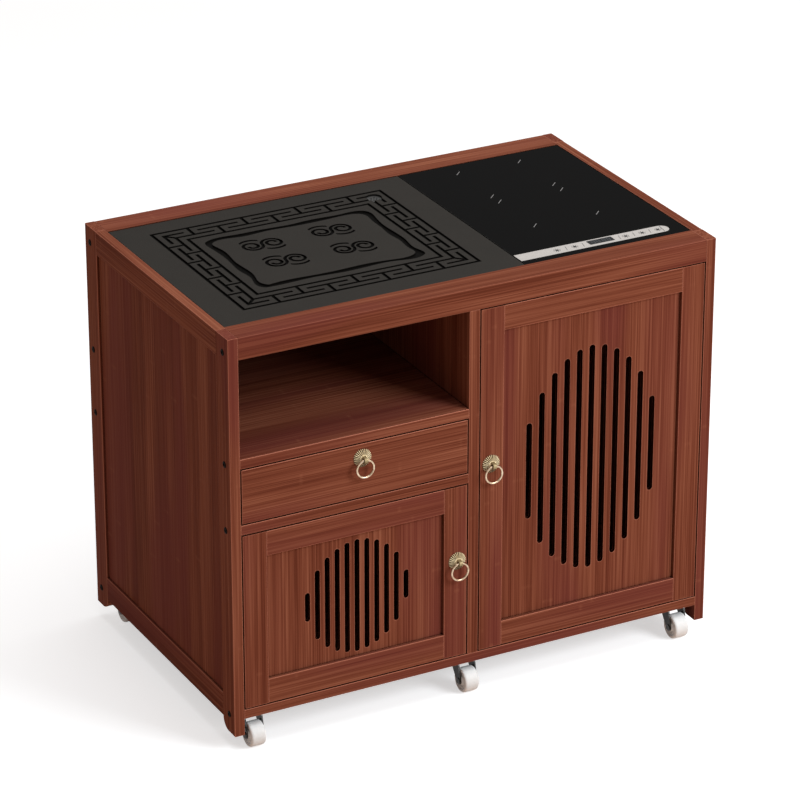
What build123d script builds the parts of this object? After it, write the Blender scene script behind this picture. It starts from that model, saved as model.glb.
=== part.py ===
from build123d import *
import os
from math import cos, sin, pi

os.makedirs("parts", exist_ok=True)

# Gongfu tea table: a wooden cabinet on casters, with a stone tea tray and a glass
# cooktop let into its top, an open niche, a drawer and two slatted doors.
# Millimetres. +X is to the right seen from the front, +Y to the back, +Z up.
# The origin is on the floor, under the middle of the whole object.

# ---------------------------------------------------------------- driving sizes
WIDTH = 800.0                 # over the side frames
DEPTH = 490.0                 # front face to rear face of the cabinet
HEIGHT = 657.0                # floor to the top of the rails
FOOT_CLEARANCE = 25.0         # the feet stop this far above the floor
CASTER_HEIGHT = 51.0          # floor to the underside of the bottom board

POST_WIDTH = 16.0             # thickness of a side frame, across the front
POST_DEPTH = 39.0
FOOT_ROUND = 18.0             # rounded inner corner at the bottom of a post
TOP_SIDE_RAIL = 37.5
BOTTOM_SIDE_RAIL = 38.0
BOTTOM_RAIL_LIFT = 18.0       # rail underside above the foot
EDGE_ROUND = 1.2              # eased edges of the frames
SEAM = 0.5                    # small chamfer where two flush boards meet
PANEL_RECESS = 4.0            # outer face of a side panel behind its frame
TONGUE = 5.0                  # how deep a panel reaches into its grooves
TONGUE_THICKNESS = 6.0
WOOD_FIT = 0.2                # clearance of a panel in its groove

TOP_RAIL_HEIGHT = 34.0
FRONT_RAIL_DEPTH = 43.5
REAR_RAIL_DEPTH = 46.0
LEDGE_DEPTH = 12.0            # shelf along the rails that carries tray and cooktop
LEDGE_THICKNESS = 8.0
BEARER_WIDTH = 36.0
BEARER_HEIGHT = 22.0

BOTTOM_BOARD = 15.0
MID_BOARD = 15.5
SHELF_BOARD = 15.0
LEFT_CUPBOARD_HEIGHT = 283.0
DRAWER_OPENING = 89.0
TRAY_PAST_DIVIDER = 99.5      # tray's right edge beyond the divider, room for the drain
DIVIDER_THICKNESS = 17.5
BACK_PANEL = 6.0
BACK_RECESS = 6.0
CEILING_THICKNESS = 5.0

TRAY_WIDTH_FROM_LEFT = 502.5  # joint between tray and cooktop, from the left side
TRAY_THICKNESS = 20.0
TRAY_DROP = 1.0               # tray and cooktop lie this far below the rails
TOP_GAP = 1.0                 # gap around tray and cooktop
CARVING_DEPTH = 2.5
LINE_WIDTH = 4.6              # width of a carved meander line
FRAME_MARGIN_X = 52.0         # tray edge to the outer meander line, left and right
FRAME_MARGIN_FRONT = 44.5
FRAME_MARGIN_BACK = 40.0
MEANDER_STEP = 13.6           # spacing of the four meander levels
MEANDER_CORNER = 57.5         # corner of the frame to its last stem
MEANDER_BAR = 0.345           # half a T's bar, as a share of the spacing of its stems
WAVE_INSET = 62.0             # outer line to the hand-carved groove
WAVE_WIDTH = 9.0
WAVE_SWING = 1.6
WAVE_POINTS = (0.03, 0.15, 0.32, 0.47, 0.64, 0.8, 0.97)   # places along a side
WAVE_PHASES = (0.4, 2.0)      # outer and inner edge of the groove
WAVE_STEP = 2.3               # phase from one point to the next
WAVE_TURN = 1.7               # phase from one side to the next
CLOUD_SCROLL = 15.0           # radius of a carved cloud's scrolls
CLOUD_BOW = 24.0              # radius of the bows beside them
CLOUD_TURNS = 3               # half rings of a scroll
CLOUD_SPOTS = [(-57.0, -22.0), (53.0, -24.0), (-61.0, 48.0), (54.0, 50.0)]   # from the tray's carving centre
DRAIN_RADIUS = 8.0
STRAINER_RADIUS = 12.0
STRAINER_THICKNESS = 1.2
STRAINER_HOLE = 1.4
STRAINER_CIRCLE = 4.6         # radius of the circle that its six outer holes lie on

DOOR_GAP = 2.0
DOOR_THICKNESS = 18.0
STILE_WIDTH = 38.0
DOOR_RAIL = 39.0
DOOR_PANEL = 6.0
DOOR_PANEL_RECESS = 6.0
PIVOT_RADIUS = 2.0
PIVOT_INSET = 4.5             # pivot axis from the door's edge and from its face
PIVOT_IN_BOARD = 10.0
PIVOT_IN_DOOR = 10.0
RUNNING_FIT = 0.05            # radial clearance of a shaft in its hole
MAGNET_LENGTH = 30.0
MAGNET_DEPTH = 11.0
MAGNET_HEIGHT = 8.0
MAGNET_GAP = 0.5
MAGNET_ROUND = 1.5
MAGNET_FROM_EDGE = 12.0

SLOTS_EACH_SIDE = 5           # slots left and right of the middle one
SLOTS_BELOW_MIDDLE = 2.0      # middle of the slots below the middle of their door
LEFT_SLOT = dict(pitch=16.2, width=8.5, reach=84.3, half=91.9, power=1.91, aside=3.4)
RIGHT_SLOT = dict(pitch=21.0, width=10.0, reach=118.4, half=182.9, power=1.88, aside=1.4)

DRAWER_DEPTH = 400.0          # length of the drawer box behind its front
DRAWER_SIDE = 12.0
DRAWER_BOX_HEIGHT = 66.0
DRAWER_BOX_LIFT = 8.0         # drawer box above the mid board
DRAWER_BOTTOM = 4.0
DRAWER_BOTTOM_LIFT = 6.0
DRAWER_GROOVE = 5.0
RUNNER_THICKNESS = 13.0       # space for the runner between cabinet and drawer box
RUNNER_HEIGHT = 35.0
RUNNER_WALL = 1.2
RUNNER_CLEARANCE = 0.5
RUNNER_BACKSET = 12.0

ROSETTE_RADIUS = 14.5
ROSETTE_PETALS = 24
PETAL_OVERLAP = 1.1           # width of a petal, as a share of its spacing
ROSETTE_THICKNESS = 1.6
ROSETTE_DOME = 2.6
RING_RADIUS = 13.6            # centre line of a pull ring
RING_WIRE = 1.65              # radius of its wire
RING_STAND = 9.6              # ring plane in front of the door
EYE_WIDTH = 6.0
EYE_RADIUS = 2.5
EYE_WALL = 1.9
LEFT_PULL_UP = 18.5           # pulls above the middle of their doors and drawer
RIGHT_PULL_UP = 28.0
DRAWER_PULL_UP = 20.25
LEFT_PULL_ASIDE = 2.5         # pulls right of the middle of their stile or drawer
RIGHT_PULL_ASIDE = -1.4
DRAWER_PULL_ASIDE = 10.0

BOLT_SHANK = 3.0
BOLT_HEAD = 5.0
BOLT_PROUD = 1.2
BOLT_LENGTH = 40.0
BOLT_FROM_EDGE = 17.5
BOLT_BELOW_CENTRE = 3.0
BOLT_IN_TOP_RAIL = 9.0        # top bolts above the underside of the top rails
BOLT_FIT = 0.1

WHEEL_RADIUS = 19.0
WHEEL_WIDTH = 23.0
HUB_WIDTH = 24.2
HUB_RADIUS = 7.0
AXLE_RADIUS = 3.0
TRAIL = 18.0                  # wheel axle ahead of the swivel axis
SWIVEL_FROM_LEFT = 35.0
SWIVEL_FROM_RIGHT = 43.0
SWIVEL_FROM_FRONT = 27.0
SWIVEL_FROM_BACK = 20.0
MIDDLE_CASTER_FROM_LEFT = 390.0
CASTER_PLATE = 38.0
CASTER_SHEET = 2.0
FORK_INSIDE = 25.0
FORK_ROUND = 4.0
FORK_FRONT = 17.0
FORK_BACK = 10.0
AXLE_BOSS = 6.0
KINGPIN_RADIUS = 3.5
KINGPIN_HEAD = 6.0
BALL_RACE_GAP = 0.4
AXLE_HEAD = 4.5               # radius of the riveted axle heads
AXLE_HEAD_THICKNESS = 1.5
RIM_THICKNESS = 4.5           # ring of the wheel outside its dished sides
DISH_DEPTH = 3.0
DISH_SLOPE = 1.0
TREAD_WIDTH = 16.5            # flat middle of the wheel's tread
TREAD_ROUND = 2.5

GLASS_THICKNESS = 4.0
GLASS_CORNER = 3.0
GLASS_BEVEL = 0.5
SHEET_METAL = 2.0
TUB_DEPTH = 65.0              # underside of the glass to the bottom of the tub
TUB_MARGIN = 2.0
TUB_SIDE_MARGIN = 8.0
COIL_HOLE = 15.0
COIL_THICKNESS = 4.0
COIL_UNDER_GLASS = 4.0
COIL_BOARD_GAP = 8.0          # the coils fill the room behind the control board
COIL_WALL_GAP = 10.0
COIL_GAP = 6.0
COIL_PILLAR = 5.0
COIL_PILLAR_CIRCLE = 40.0
BOARD_DEPTH = 84.0
BOARD_THICKNESS = 1.6
BOARD_FAN_GAP = 17.3
BOARD_STANDOFF = 6.0
BOARD_MARGIN = 12.0
BOARD_POST = 3.0              # radius of the posts under the board
BOARD_POST_INSET = 5.0
SINK_SIZE = (48.0, 30.0, 22.0)
SINK_BASE = 4.0
SINK_FIN = 2.0
SINK_FINS = 8
CAPACITOR = (9.0, 25.0)       # radius and height
FAN_SIZE = 60.0
FAN_HEIGHT = 15.0
FAN_BORE = 28.0
FAN_BLADES = 7
FAN_HUB = 11.0
FAN_SPINDLE = 1.5
FAN_TIP_GAP = 1.2
FAN_CORNER = 4.0
FAN_ARM = 4.0
FAN_PLATE = 2.0               # thickness of the arms and of the motor plate
FAN_CLEARANCE = 0.5
BLADE_THICKNESS = 1.4
BLADE_PITCH = 38.0            # degrees
INTAKE_SLOT = (40.0, 3.0)
INTAKE_PITCH = 7.0
INTAKE_SLOTS = 7
INLET_SIZE = (32.0, 12.0, 24.0)
INLET_WALL = 3.0
INLET_LIFT = 12.0
INLET_PIN = (2.0, 4.0)
INLET_PINS = [(-7.0, 9.0), (7.0, 9.0), (0.0, 14.5)]
SPIGOT_FLANGE = 16.0
SPIGOT_FLANGE_THICKNESS = 4.0
SPIGOT_WALL = 2.0
SPIGOT_LENGTH = 33.0

CABLE_HOLE_RADIUS = 25.0
VENT_COUNT = 6
VENT_SIZE = (120.0, 6.0)
VENT_PITCH = 16.0

# ---------------------------------------------------------------- derived places
LEFT = -WIDTH / 2
RIGHT = WIDTH / 2
WHEEL_REACH = WHEEL_RADIUS + TRAIL - SWIVEL_FROM_FRONT   # wheels stand out in front
PULL_REACH = RING_STAND + EYE_RADIUS + EYE_WALL          # and so do the pulls
FRONT = (max(WHEEL_REACH, PULL_REACH) - DEPTH) / 2
BACK = FRONT + DEPTH
INNER_LEFT = LEFT + POST_WIDTH
INNER_RIGHT = RIGHT - POST_WIDTH
PANEL_FACE = BACK - BACK_RECESS - BACK_PANEL             # inner face of the back panel

BOTTOM_TOP = CASTER_HEIGHT + BOTTOM_BOARD
MID_UNDER = BOTTOM_TOP + LEFT_CUPBOARD_HEIGHT
MID_TOP = MID_UNDER + MID_BOARD
SHELF_UNDER = MID_TOP + DRAWER_OPENING
SHELF_TOP = SHELF_UNDER + SHELF_BOARD
RAIL_UNDER = HEIGHT - TOP_RAIL_HEIGHT
SURFACE = HEIGHT - TRAY_DROP                             # top of tray and cooktop
LEDGE_TOP = SURFACE - TRAY_THICKNESS
LEDGE_UNDER = LEDGE_TOP - LEDGE_THICKNESS

SPLIT = LEFT + TRAY_WIDTH_FROM_LEFT
DIVIDER_RIGHT = SPLIT - TRAY_PAST_DIVIDER
DIVIDER_LEFT = DIVIDER_RIGHT - DIVIDER_THICKNESS
TRAY_FRONT = FRONT + FRONT_RAIL_DEPTH + TOP_GAP
TRAY_BACK = BACK - REAR_RAIL_DEPTH - TOP_GAP
LEDGE_FRONT = FRONT + FRONT_RAIL_DEPTH + LEDGE_DEPTH
LEDGE_BACK = BACK - REAR_RAIL_DEPTH - LEDGE_DEPTH


# ---------------------------------------------------------------- small helpers
def block(x0, x1, y0, y1, z0, z1):
    """A box given by its two corners."""
    middle = Pos((x0 + x1) / 2, (y0 + y1) / 2, (z0 + z1) / 2)
    return middle * Box(x1 - x0, y1 - y0, z1 - z0)


def rod_x(radius, x0, x1, y, z):
    return Pos((x0 + x1) / 2, y, z) * Rot(0, 90, 0) * Cylinder(radius, x1 - x0)


def rod_y(radius, x, y0, y1, z):
    return Pos(x, (y0 + y1) / 2, z) * Rot(90, 0, 0) * Cylinder(radius, y1 - y0)


def rod_z(radius, x, y, z0, z1):
    return Pos(x, y, (z0 + z1) / 2) * Cylinder(radius, z1 - z0)


def edges_at(solid, along, **place):
    """Edges of a solid that run along one axis and lie at the given x, y or z."""
    chosen = []
    for edge in solid.edges().filter_by(along):
        middle = edge.center()
        spot = dict(x=middle.X, y=middle.Y, z=middle.Z)
        if all(abs(spot[key] - value) < 0.01 for key, value in place.items()):
            chosen.append(edge)
    return chosen


def save(node, *solids):
    """One STEP file for each node; a node may hold several solids."""
    whole = solids[0] if len(solids) == 1 else Compound(children=list(solids))
    export_step(whole, f"parts/{node}.step")


def mirrored(solid):
    return mirror(solid, about=Plane.YZ)


# ---------------------------------------------------------------- frame bolts
OUTER_BOLTS = [
    (CASTER_HEIGHT + BOTTOM_TOP) / 2 - BOLT_BELOW_CENTRE,
    RAIL_UNDER + BOLT_IN_TOP_RAIL,
]
BOARD_BOLTS = [
    (MID_UNDER + MID_TOP) / 2 - BOLT_BELOW_CENTRE,
    (SHELF_UNDER + SHELF_TOP) / 2 - BOLT_BELOW_CENTRE,
]
BOLT_ROWS = [FRONT + BOLT_FROM_EDGE, BACK - BOLT_FROM_EDGE]


def left_bolt(y, z):
    """One bolt through a left post; its domed head stands on the outer face."""
    head = rod_x(BOLT_HEAD, LEFT - BOLT_PROUD, LEFT, y, z)
    head = fillet(edges_at(head, GeomType.CIRCLE, x=LEFT - BOLT_PROUD), BOLT_PROUD / 2)
    return head + rod_x(BOLT_SHANK, LEFT, LEFT + BOLT_LENGTH, y, z)


def bolt_holes(solid):
    """Drill the frame bolts' holes through a piece, on the left and on the right.

    The right side has no boards between its bottom and its top, so it has fewer bolts.
    """
    for y in BOLT_ROWS:
        for z in OUTER_BOLTS + BOARD_BOLTS:
            hole = rod_x(BOLT_SHANK + BOLT_FIT, LEFT, LEFT + BOLT_LENGTH, y, z)
            solid = solid - hole
            if z in OUTER_BOLTS:
                solid = solid - mirrored(hole)
    return solid


# ---------------------------------------------------------------- side frames
TOP_RAIL_Z = HEIGHT - TOP_SIDE_RAIL
SIDE_RAIL_Z = FOOT_CLEARANCE + BOTTOM_RAIL_LIFT
SIDE_RAIL_TOP = SIDE_RAIL_Z + BOTTOM_SIDE_RAIL
TONGUE_X0 = INNER_LEFT - (POST_WIDTH - PANEL_RECESS) / 2 - TONGUE_THICKNESS / 2


def panel_groove():
    """The groove that runs round the inside of a side frame."""
    slack = TONGUE + WOOD_FIT
    return block(
        TONGUE_X0 - WOOD_FIT, TONGUE_X0 + TONGUE_THICKNESS + WOOD_FIT,
        FRONT + POST_DEPTH - slack, BACK - POST_DEPTH + slack,
        SIDE_RAIL_TOP - slack, TOP_RAIL_Z + slack,
    )


def side_post(y0, y1, inner_y):
    """A left post from foot to top, its inner lower corner rounded."""
    post = block(LEFT, INNER_LEFT, y0, y1, FOOT_CLEARANCE, HEIGHT)
    post = fillet(edges_at(post, Axis.X, y=inner_y, z=FOOT_CLEARANCE), FOOT_ROUND)
    post = fillet(edges_at(post, Axis.Z, x=LEFT), EDGE_ROUND)
    outer_y = y0 if inner_y == y1 else y1
    seams = edges_at(post, Axis.Z, x=INNER_LEFT, y=outer_y) + edges_at(post, Axis.Y, x=INNER_LEFT, z=HEIGHT)
    return chamfer(seams, SEAM) - panel_groove()


def side_rail(z0, z1):
    rail = block(LEFT, INNER_LEFT, FRONT + POST_DEPTH, BACK - POST_DEPTH, z0, z1)
    rail = fillet(edges_at(rail, Axis.Y, x=LEFT), EDGE_ROUND)
    rail = chamfer(edges_at(rail, Axis.Y, x=INNER_LEFT, z=z1), SEAM)
    return rail - panel_groove()


def side_panel():
    field = block(
        LEFT + PANEL_RECESS, INNER_LEFT,
        FRONT + POST_DEPTH + WOOD_FIT, BACK - POST_DEPTH - WOOD_FIT,
        SIDE_RAIL_TOP + WOOD_FIT, TOP_RAIL_Z - WOOD_FIT,
    )
    tongue = block(
        TONGUE_X0, TONGUE_X0 + TONGUE_THICKNESS,
        FRONT + POST_DEPTH - TONGUE, BACK - POST_DEPTH + TONGUE,
        SIDE_RAIL_TOP - TONGUE, TOP_RAIL_Z + TONGUE,
    )
    return field + tongue


left_front = side_post(FRONT, FRONT + POST_DEPTH, FRONT + POST_DEPTH)
left_rear = side_post(BACK - POST_DEPTH, BACK, BACK - POST_DEPTH)
top_side_rail = side_rail(TOP_RAIL_Z, HEIGHT)
bottom_side_rail = side_rail(SIDE_RAIL_Z, SIDE_RAIL_TOP)

save("left_front_post", bolt_holes(left_front))
save("left_rear_post", bolt_holes(left_rear))
save("right_front_post", bolt_holes(mirrored(left_front)))
save("right_rear_post", bolt_holes(mirrored(left_rear)))
save("left_side_rails", top_side_rail, bottom_side_rail)
save("right_side_rails", mirrored(top_side_rail), mirrored(bottom_side_rail))
save("left_side_panel", side_panel())
save("right_side_panel", mirrored(side_panel()))

outer_bolts = [left_bolt(y, z) for y in BOLT_ROWS for z in OUTER_BOLTS]
board_bolts = [left_bolt(y, z) for y in BOLT_ROWS for z in BOARD_BOLTS]
save("frame_bolts", *outer_bolts, *board_bolts, *[mirrored(bolt) for bolt in outer_bolts])


# ---------------------------------------------------------------- doors: places
def door_place(x0, x1, z1, hinge_on_left):
    """Outline of a door in its opening, and its pivot axis."""
    place = dict(x0=x0 + DOOR_GAP, x1=x1 - DOOR_GAP, z0=BOTTOM_TOP + DOOR_GAP, z1=z1 - DOOR_GAP)
    place["pivot_x"] = place["x0"] + PIVOT_INSET if hinge_on_left else place["x1"] - PIVOT_INSET
    place["pivot_y"] = FRONT + PIVOT_INSET
    place["top"] = z1
    return place


LEFT_DOOR = door_place(INNER_LEFT, DIVIDER_LEFT, MID_UNDER, hinge_on_left=True)
RIGHT_DOOR = door_place(DIVIDER_RIGHT, INNER_RIGHT, RAIL_UNDER, hinge_on_left=False)


def pivot_pins(door):
    """Lower and upper pivot pin of a door."""
    x, y = door["pivot_x"], door["pivot_y"]
    reach = DOOR_GAP + PIVOT_IN_DOOR
    low = rod_z(PIVOT_RADIUS, x, y, BOTTOM_TOP - PIVOT_IN_BOARD, BOTTOM_TOP + reach)
    high = rod_z(PIVOT_RADIUS, x, y, door["top"] - reach, door["top"] + PIVOT_IN_BOARD)
    return [low, high]


def pivot_seat(door, z0, z1):
    """The hole that a pivot pin is pressed into."""
    return rod_z(PIVOT_RADIUS, door["pivot_x"], door["pivot_y"], z0, z1)


# ---------------------------------------------------------------- top rails, boards
def eased_board(x0, x1, y1, z0, z1, long_edges):
    """A board with its front at the cabinet's front: eased arrises, seams at its ends."""
    board = block(x0, x1, FRONT, y1, z0, z1)
    for z in long_edges:
        board = fillet(edges_at(board, Axis.X, y=FRONT, z=z), EDGE_ROUND)
    for x in (x0, x1):
        board = chamfer(edges_at(board, Axis.Z, x=x, y=FRONT), SEAM)
    return board


def top_rail(y0, y1, ledge_y0, ledge_y1):
    beam = block(INNER_LEFT, INNER_RIGHT, y0, y1, RAIL_UNDER, HEIGHT)
    outer = y0 if ledge_y0 == y1 else y1
    beam = fillet(edges_at(beam, Axis.X, y=outer, z=HEIGHT), EDGE_ROUND)
    for end in (INNER_LEFT, INNER_RIGHT):
        seams = edges_at(beam, Axis.Y, x=end, z=HEIGHT) + edges_at(beam, Axis.Z, x=end, y=outer)
        beam = chamfer(seams, SEAM)
    ledge = block(INNER_LEFT, INNER_RIGHT, ledge_y0, ledge_y1, LEDGE_UNDER, LEDGE_TOP)
    return bolt_holes(beam + ledge)


front_rail = top_rail(FRONT, FRONT + FRONT_RAIL_DEPTH, FRONT + FRONT_RAIL_DEPTH, LEDGE_FRONT)
front_rail = front_rail - pivot_seat(RIGHT_DOOR, RAIL_UNDER, RAIL_UNDER + PIVOT_IN_BOARD)
rear_rail = top_rail(BACK - REAR_RAIL_DEPTH, BACK, LEDGE_BACK, BACK - REAR_RAIL_DEPTH)
save("front_top_rail", front_rail)
save("rear_top_rail", rear_rail)

bearer = block(
    SPLIT - BEARER_WIDTH / 2, SPLIT + BEARER_WIDTH / 2,
    LEDGE_FRONT, LEDGE_BACK, LEDGE_TOP - BEARER_HEIGHT, LEDGE_TOP,
)
save("top_cross_bearer", bearer)

divider = block(DIVIDER_LEFT, DIVIDER_RIGHT, FRONT, PANEL_FACE, BOTTOM_TOP, RAIL_UNDER)
for x in (DIVIDER_LEFT, DIVIDER_RIGHT):
    divider = fillet(edges_at(divider, Axis.Z, x=x, y=FRONT), EDGE_ROUND)
for z in (BOTTOM_TOP, RAIL_UNDER):
    divider = chamfer(edges_at(divider, Axis.X, y=FRONT, z=z), SEAM)
divider = divider + block(
    DIVIDER_LEFT, DIVIDER_RIGHT, LEDGE_FRONT, LEDGE_BACK, RAIL_UNDER, LEDGE_TOP,
)
save("centre_divider", divider)

shelf = eased_board(
    INNER_LEFT, DIVIDER_LEFT, PANEL_FACE, SHELF_UNDER, SHELF_TOP, (SHELF_UNDER, SHELF_TOP),
)
save("shelf_board", bolt_holes(shelf))

mid = eased_board(
    INNER_LEFT, DIVIDER_LEFT, PANEL_FACE, MID_UNDER, MID_TOP, (MID_UNDER, MID_TOP),
)
mid = mid - pivot_seat(LEFT_DOOR, MID_UNDER, MID_UNDER + PIVOT_IN_BOARD)
save("mid_board", bolt_holes(mid))

bottom = eased_board(
    INNER_LEFT, INNER_RIGHT, BACK, CASTER_HEIGHT, BOTTOM_TOP, (CASTER_HEIGHT, BOTTOM_TOP),
)
for door in (LEFT_DOOR, RIGHT_DOOR):
    bottom = bottom - pivot_seat(door, BOTTOM_TOP - PIVOT_IN_BOARD, BOTTOM_TOP)
save("bottom_board", bolt_holes(bottom))

ceiling = block(
    INNER_LEFT, DIVIDER_LEFT, FRONT + FRONT_RAIL_DEPTH, BACK - REAR_RAIL_DEPTH,
    RAIL_UNDER, RAIL_UNDER + CEILING_THICKNESS,
)
save("niche_ceiling", ceiling)

save("door_pivot_pins", *pivot_pins(LEFT_DOOR), *pivot_pins(RIGHT_DOOR))


# ---------------------------------------------------------------- back panel
CABLE_X = (DIVIDER_RIGHT + INNER_RIGHT) / 2
CABLE_Z = BOTTOM_TOP + 2 * CABLE_HOLE_RADIUS
VENT_Z = SHELF_UNDER


def back_panel():
    """Thin back with a cable outlet low down and a row of vents behind the cooktop."""
    panel = block(INNER_LEFT, INNER_RIGHT, PANEL_FACE, PANEL_FACE + BACK_PANEL, BOTTOM_TOP, RAIL_UNDER)
    vents = Sketch() + [
        Pos(CABLE_X, VENT_Z + i * VENT_PITCH) * SlotOverall(*VENT_SIZE) for i in range(VENT_COUNT)
    ]
    cutter = extrude(Plane.XZ.offset(-PANEL_FACE) * vents, -BACK_PANEL)
    hole = rod_y(CABLE_HOLE_RADIUS, CABLE_X, PANEL_FACE, PANEL_FACE + BACK_PANEL, CABLE_Z)
    return panel - cutter - hole


save("back_panel", back_panel())


# ---------------------------------------------------------------- doors
def slot_half_length(slot, i):
    """Slots shorten towards the sides, so their ends follow a rounded outline."""
    share = (abs(i) * slot["pitch"] / slot["reach"]) ** slot["power"]
    return slot["half"] * (1 - share) ** (1 / slot["power"])


def make_door(name, door, slot):
    """Stiles, rails and a slatted panel held in their grooves."""
    x0, x1, z0, z1 = door["x0"], door["x1"], door["z0"], door["z1"]
    y0, y1 = FRONT, FRONT + DOOR_THICKNESS
    panel_y = y0 + DOOR_PANEL_RECESS
    inner = (x0 + STILE_WIDTH, x1 - STILE_WIDTH, z0 + DOOR_RAIL, z1 - DOOR_RAIL)
    slack = TONGUE + WOOD_FIT
    groove = block(
        inner[0] - slack, inner[1] + slack, panel_y - WOOD_FIT,
        panel_y + DOOR_PANEL + WOOD_FIT, inner[2] - slack, inner[3] + slack,
    )
    deep = PIVOT_IN_DOOR + DOOR_GAP
    hole = (PIVOT_RADIUS + RUNNING_FIT, door["pivot_x"], door["pivot_y"])
    holes = rod_z(*hole, z0, z0 + deep) + rod_z(*hole, z1 - deep, z1)
    stiles = []
    for a, b, outer in ((x0, inner[0], x0), (inner[1], x1, x1)):
        stile = block(a, b, y0, y1, z0, z1)
        inside = b if outer == a else a
        stile = fillet(edges_at(stile, Axis.Z, x=outer, y=y0), EDGE_ROUND)
        stile = chamfer(edges_at(stile, Axis.Z, x=inside, y=y0), SEAM)
        stiles.append(stile - groove - holes)
    rails = []
    for a, b, outer in ((z0, inner[2], z0), (inner[3], z1, z1)):
        rail = block(inner[0], inner[1], y0, y1, a, b)
        inside = b if outer == a else a
        rail = fillet(edges_at(rail, Axis.X, z=outer, y=y0), EDGE_ROUND)
        seams = edges_at(rail, Axis.Z, x=inner[0], y=y0) + edges_at(rail, Axis.Z, x=inner[1], y=y0)
        rail = chamfer(seams + edges_at(rail, Axis.X, z=inside, y=y0), SEAM)
        rails.append(rail - groove)
    panel = block(
        inner[0] - TONGUE, inner[1] + TONGUE, panel_y,
        panel_y + DOOR_PANEL, inner[2] - TONGUE, inner[3] + TONGUE,
    )
    middle_x, middle_z = (x0 + x1) / 2 + slot["aside"], (z0 + z1) / 2 - SLOTS_BELOW_MIDDLE
    slots = Sketch() + [
        Pos(middle_x + i * slot["pitch"], middle_z)
        * SlotOverall(2 * slot_half_length(slot, i), slot["width"], rotation=90)
        for i in range(-SLOTS_EACH_SIDE, SLOTS_EACH_SIDE + 1)
    ]
    panel = panel - extrude(Plane.XZ.offset(-panel_y) * slots, -DOOR_PANEL)
    save(f"{name}_stiles", *stiles)
    save(f"{name}_rails", *rails)
    save(f"{name}_panel", panel)


make_door("left_door", LEFT_DOOR, LEFT_SLOT)
make_door("right_door", RIGHT_DOOR, RIGHT_SLOT)


def magnet(x, top):
    """Magnetic catch under the board above a door."""
    y0 = FRONT + DOOR_THICKNESS + MAGNET_GAP
    half = MAGNET_LENGTH / 2
    body = block(x - half, x + half, y0, y0 + MAGNET_DEPTH, top - MAGNET_HEIGHT, top)
    return fillet(edges_at(body, Axis.X, z=top - MAGNET_HEIGHT), MAGNET_ROUND)


MAGNET_STEP = MAGNET_FROM_EDGE + MAGNET_LENGTH / 2
save(
    "door_magnets",
    magnet(LEFT_DOOR["x1"] - MAGNET_STEP, MID_UNDER),
    magnet(RIGHT_DOOR["x0"] + MAGNET_STEP, RAIL_UNDER),
)


# ---------------------------------------------------------------- drawer
BOX_X0 = INNER_LEFT + RUNNER_THICKNESS
BOX_X1 = DIVIDER_LEFT - RUNNER_THICKNESS
BOX_Y0 = FRONT + DOOR_THICKNESS
BOX_Y1 = BOX_Y0 + DRAWER_DEPTH
BOX_Z0 = MID_TOP + DRAWER_BOX_LIFT
BOX_Z1 = BOX_Z0 + DRAWER_BOX_HEIGHT
DRAWER_X0 = INNER_LEFT + DOOR_GAP
DRAWER_X1 = DIVIDER_LEFT - DOOR_GAP
DRAWER_Z0 = MID_TOP + DOOR_GAP
DRAWER_Z1 = SHELF_UNDER - DOOR_GAP


def drawer_bottom(extra=0.0):
    """The bottom sheet, or with extra, the groove that holds it."""
    inset = DRAWER_SIDE - DRAWER_GROOVE
    z = BOX_Z0 + DRAWER_BOTTOM_LIFT
    return block(
        BOX_X0 + inset - extra, BOX_X1 - inset + extra,
        BOX_Y0 - DRAWER_GROOVE - extra, BOX_Y1 - inset + extra,
        z - extra, z + DRAWER_BOTTOM + extra,
    )


drawer_face = block(DRAWER_X0, DRAWER_X1, FRONT, BOX_Y0, DRAWER_Z0, DRAWER_Z1)
drawer_face = fillet(drawer_face.faces().sort_by(Axis.Y)[0].edges(), EDGE_ROUND)
drawer_walls = [
    block(BOX_X0, BOX_X0 + DRAWER_SIDE, BOX_Y0, BOX_Y1, BOX_Z0, BOX_Z1),
    block(BOX_X1 - DRAWER_SIDE, BOX_X1, BOX_Y0, BOX_Y1, BOX_Z0, BOX_Z1),
    block(BOX_X0 + DRAWER_SIDE, BOX_X1 - DRAWER_SIDE, BOX_Y1 - DRAWER_SIDE, BOX_Y1, BOX_Z0, BOX_Z1),
]
groove = drawer_bottom(WOOD_FIT)
save("drawer_front", drawer_face - groove)
save("drawer_box_walls", *[wall - groove for wall in drawer_walls])
save("drawer_bottom", drawer_bottom())

RUNNER_Z = (BOX_Z0 + BOX_Z1) / 2


def runner(web_x, open_x, height):
    """A C-shaped channel whose web lies at web_x and whose flanges reach open_x."""
    y0, y1 = BOX_Y0 + RUNNER_BACKSET, BOX_Y1
    inward = RUNNER_WALL if open_x > web_x else -RUNNER_WALL
    z0, z1 = RUNNER_Z - height / 2, RUNNER_Z + height / 2
    lo, hi = sorted((web_x, open_x))
    hollow_lo, hollow_hi = sorted((web_x + inward, open_x + inward))
    shape = block(lo, hi, y0, y1, z0, z1)
    return shape - block(hollow_lo, hollow_hi, y0, y1, z0 + RUNNER_WALL, z1 - RUNNER_WALL)


OUTER_REACH = RUNNER_THICKNESS - 2 * RUNNER_WALL
INNER_HEIGHT = RUNNER_HEIGHT - 2 * (RUNNER_WALL + RUNNER_CLEARANCE)
save(
    "drawer_outer_runners",
    runner(INNER_LEFT, INNER_LEFT + OUTER_REACH, RUNNER_HEIGHT),
    runner(DIVIDER_LEFT, DIVIDER_LEFT - OUTER_REACH, RUNNER_HEIGHT),
)
save(
    "drawer_inner_runners",
    runner(BOX_X0, INNER_LEFT + 2 * RUNNER_WALL, INNER_HEIGHT),
    runner(BOX_X1, DIVIDER_LEFT - 2 * RUNNER_WALL, INNER_HEIGHT),
)


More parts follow.
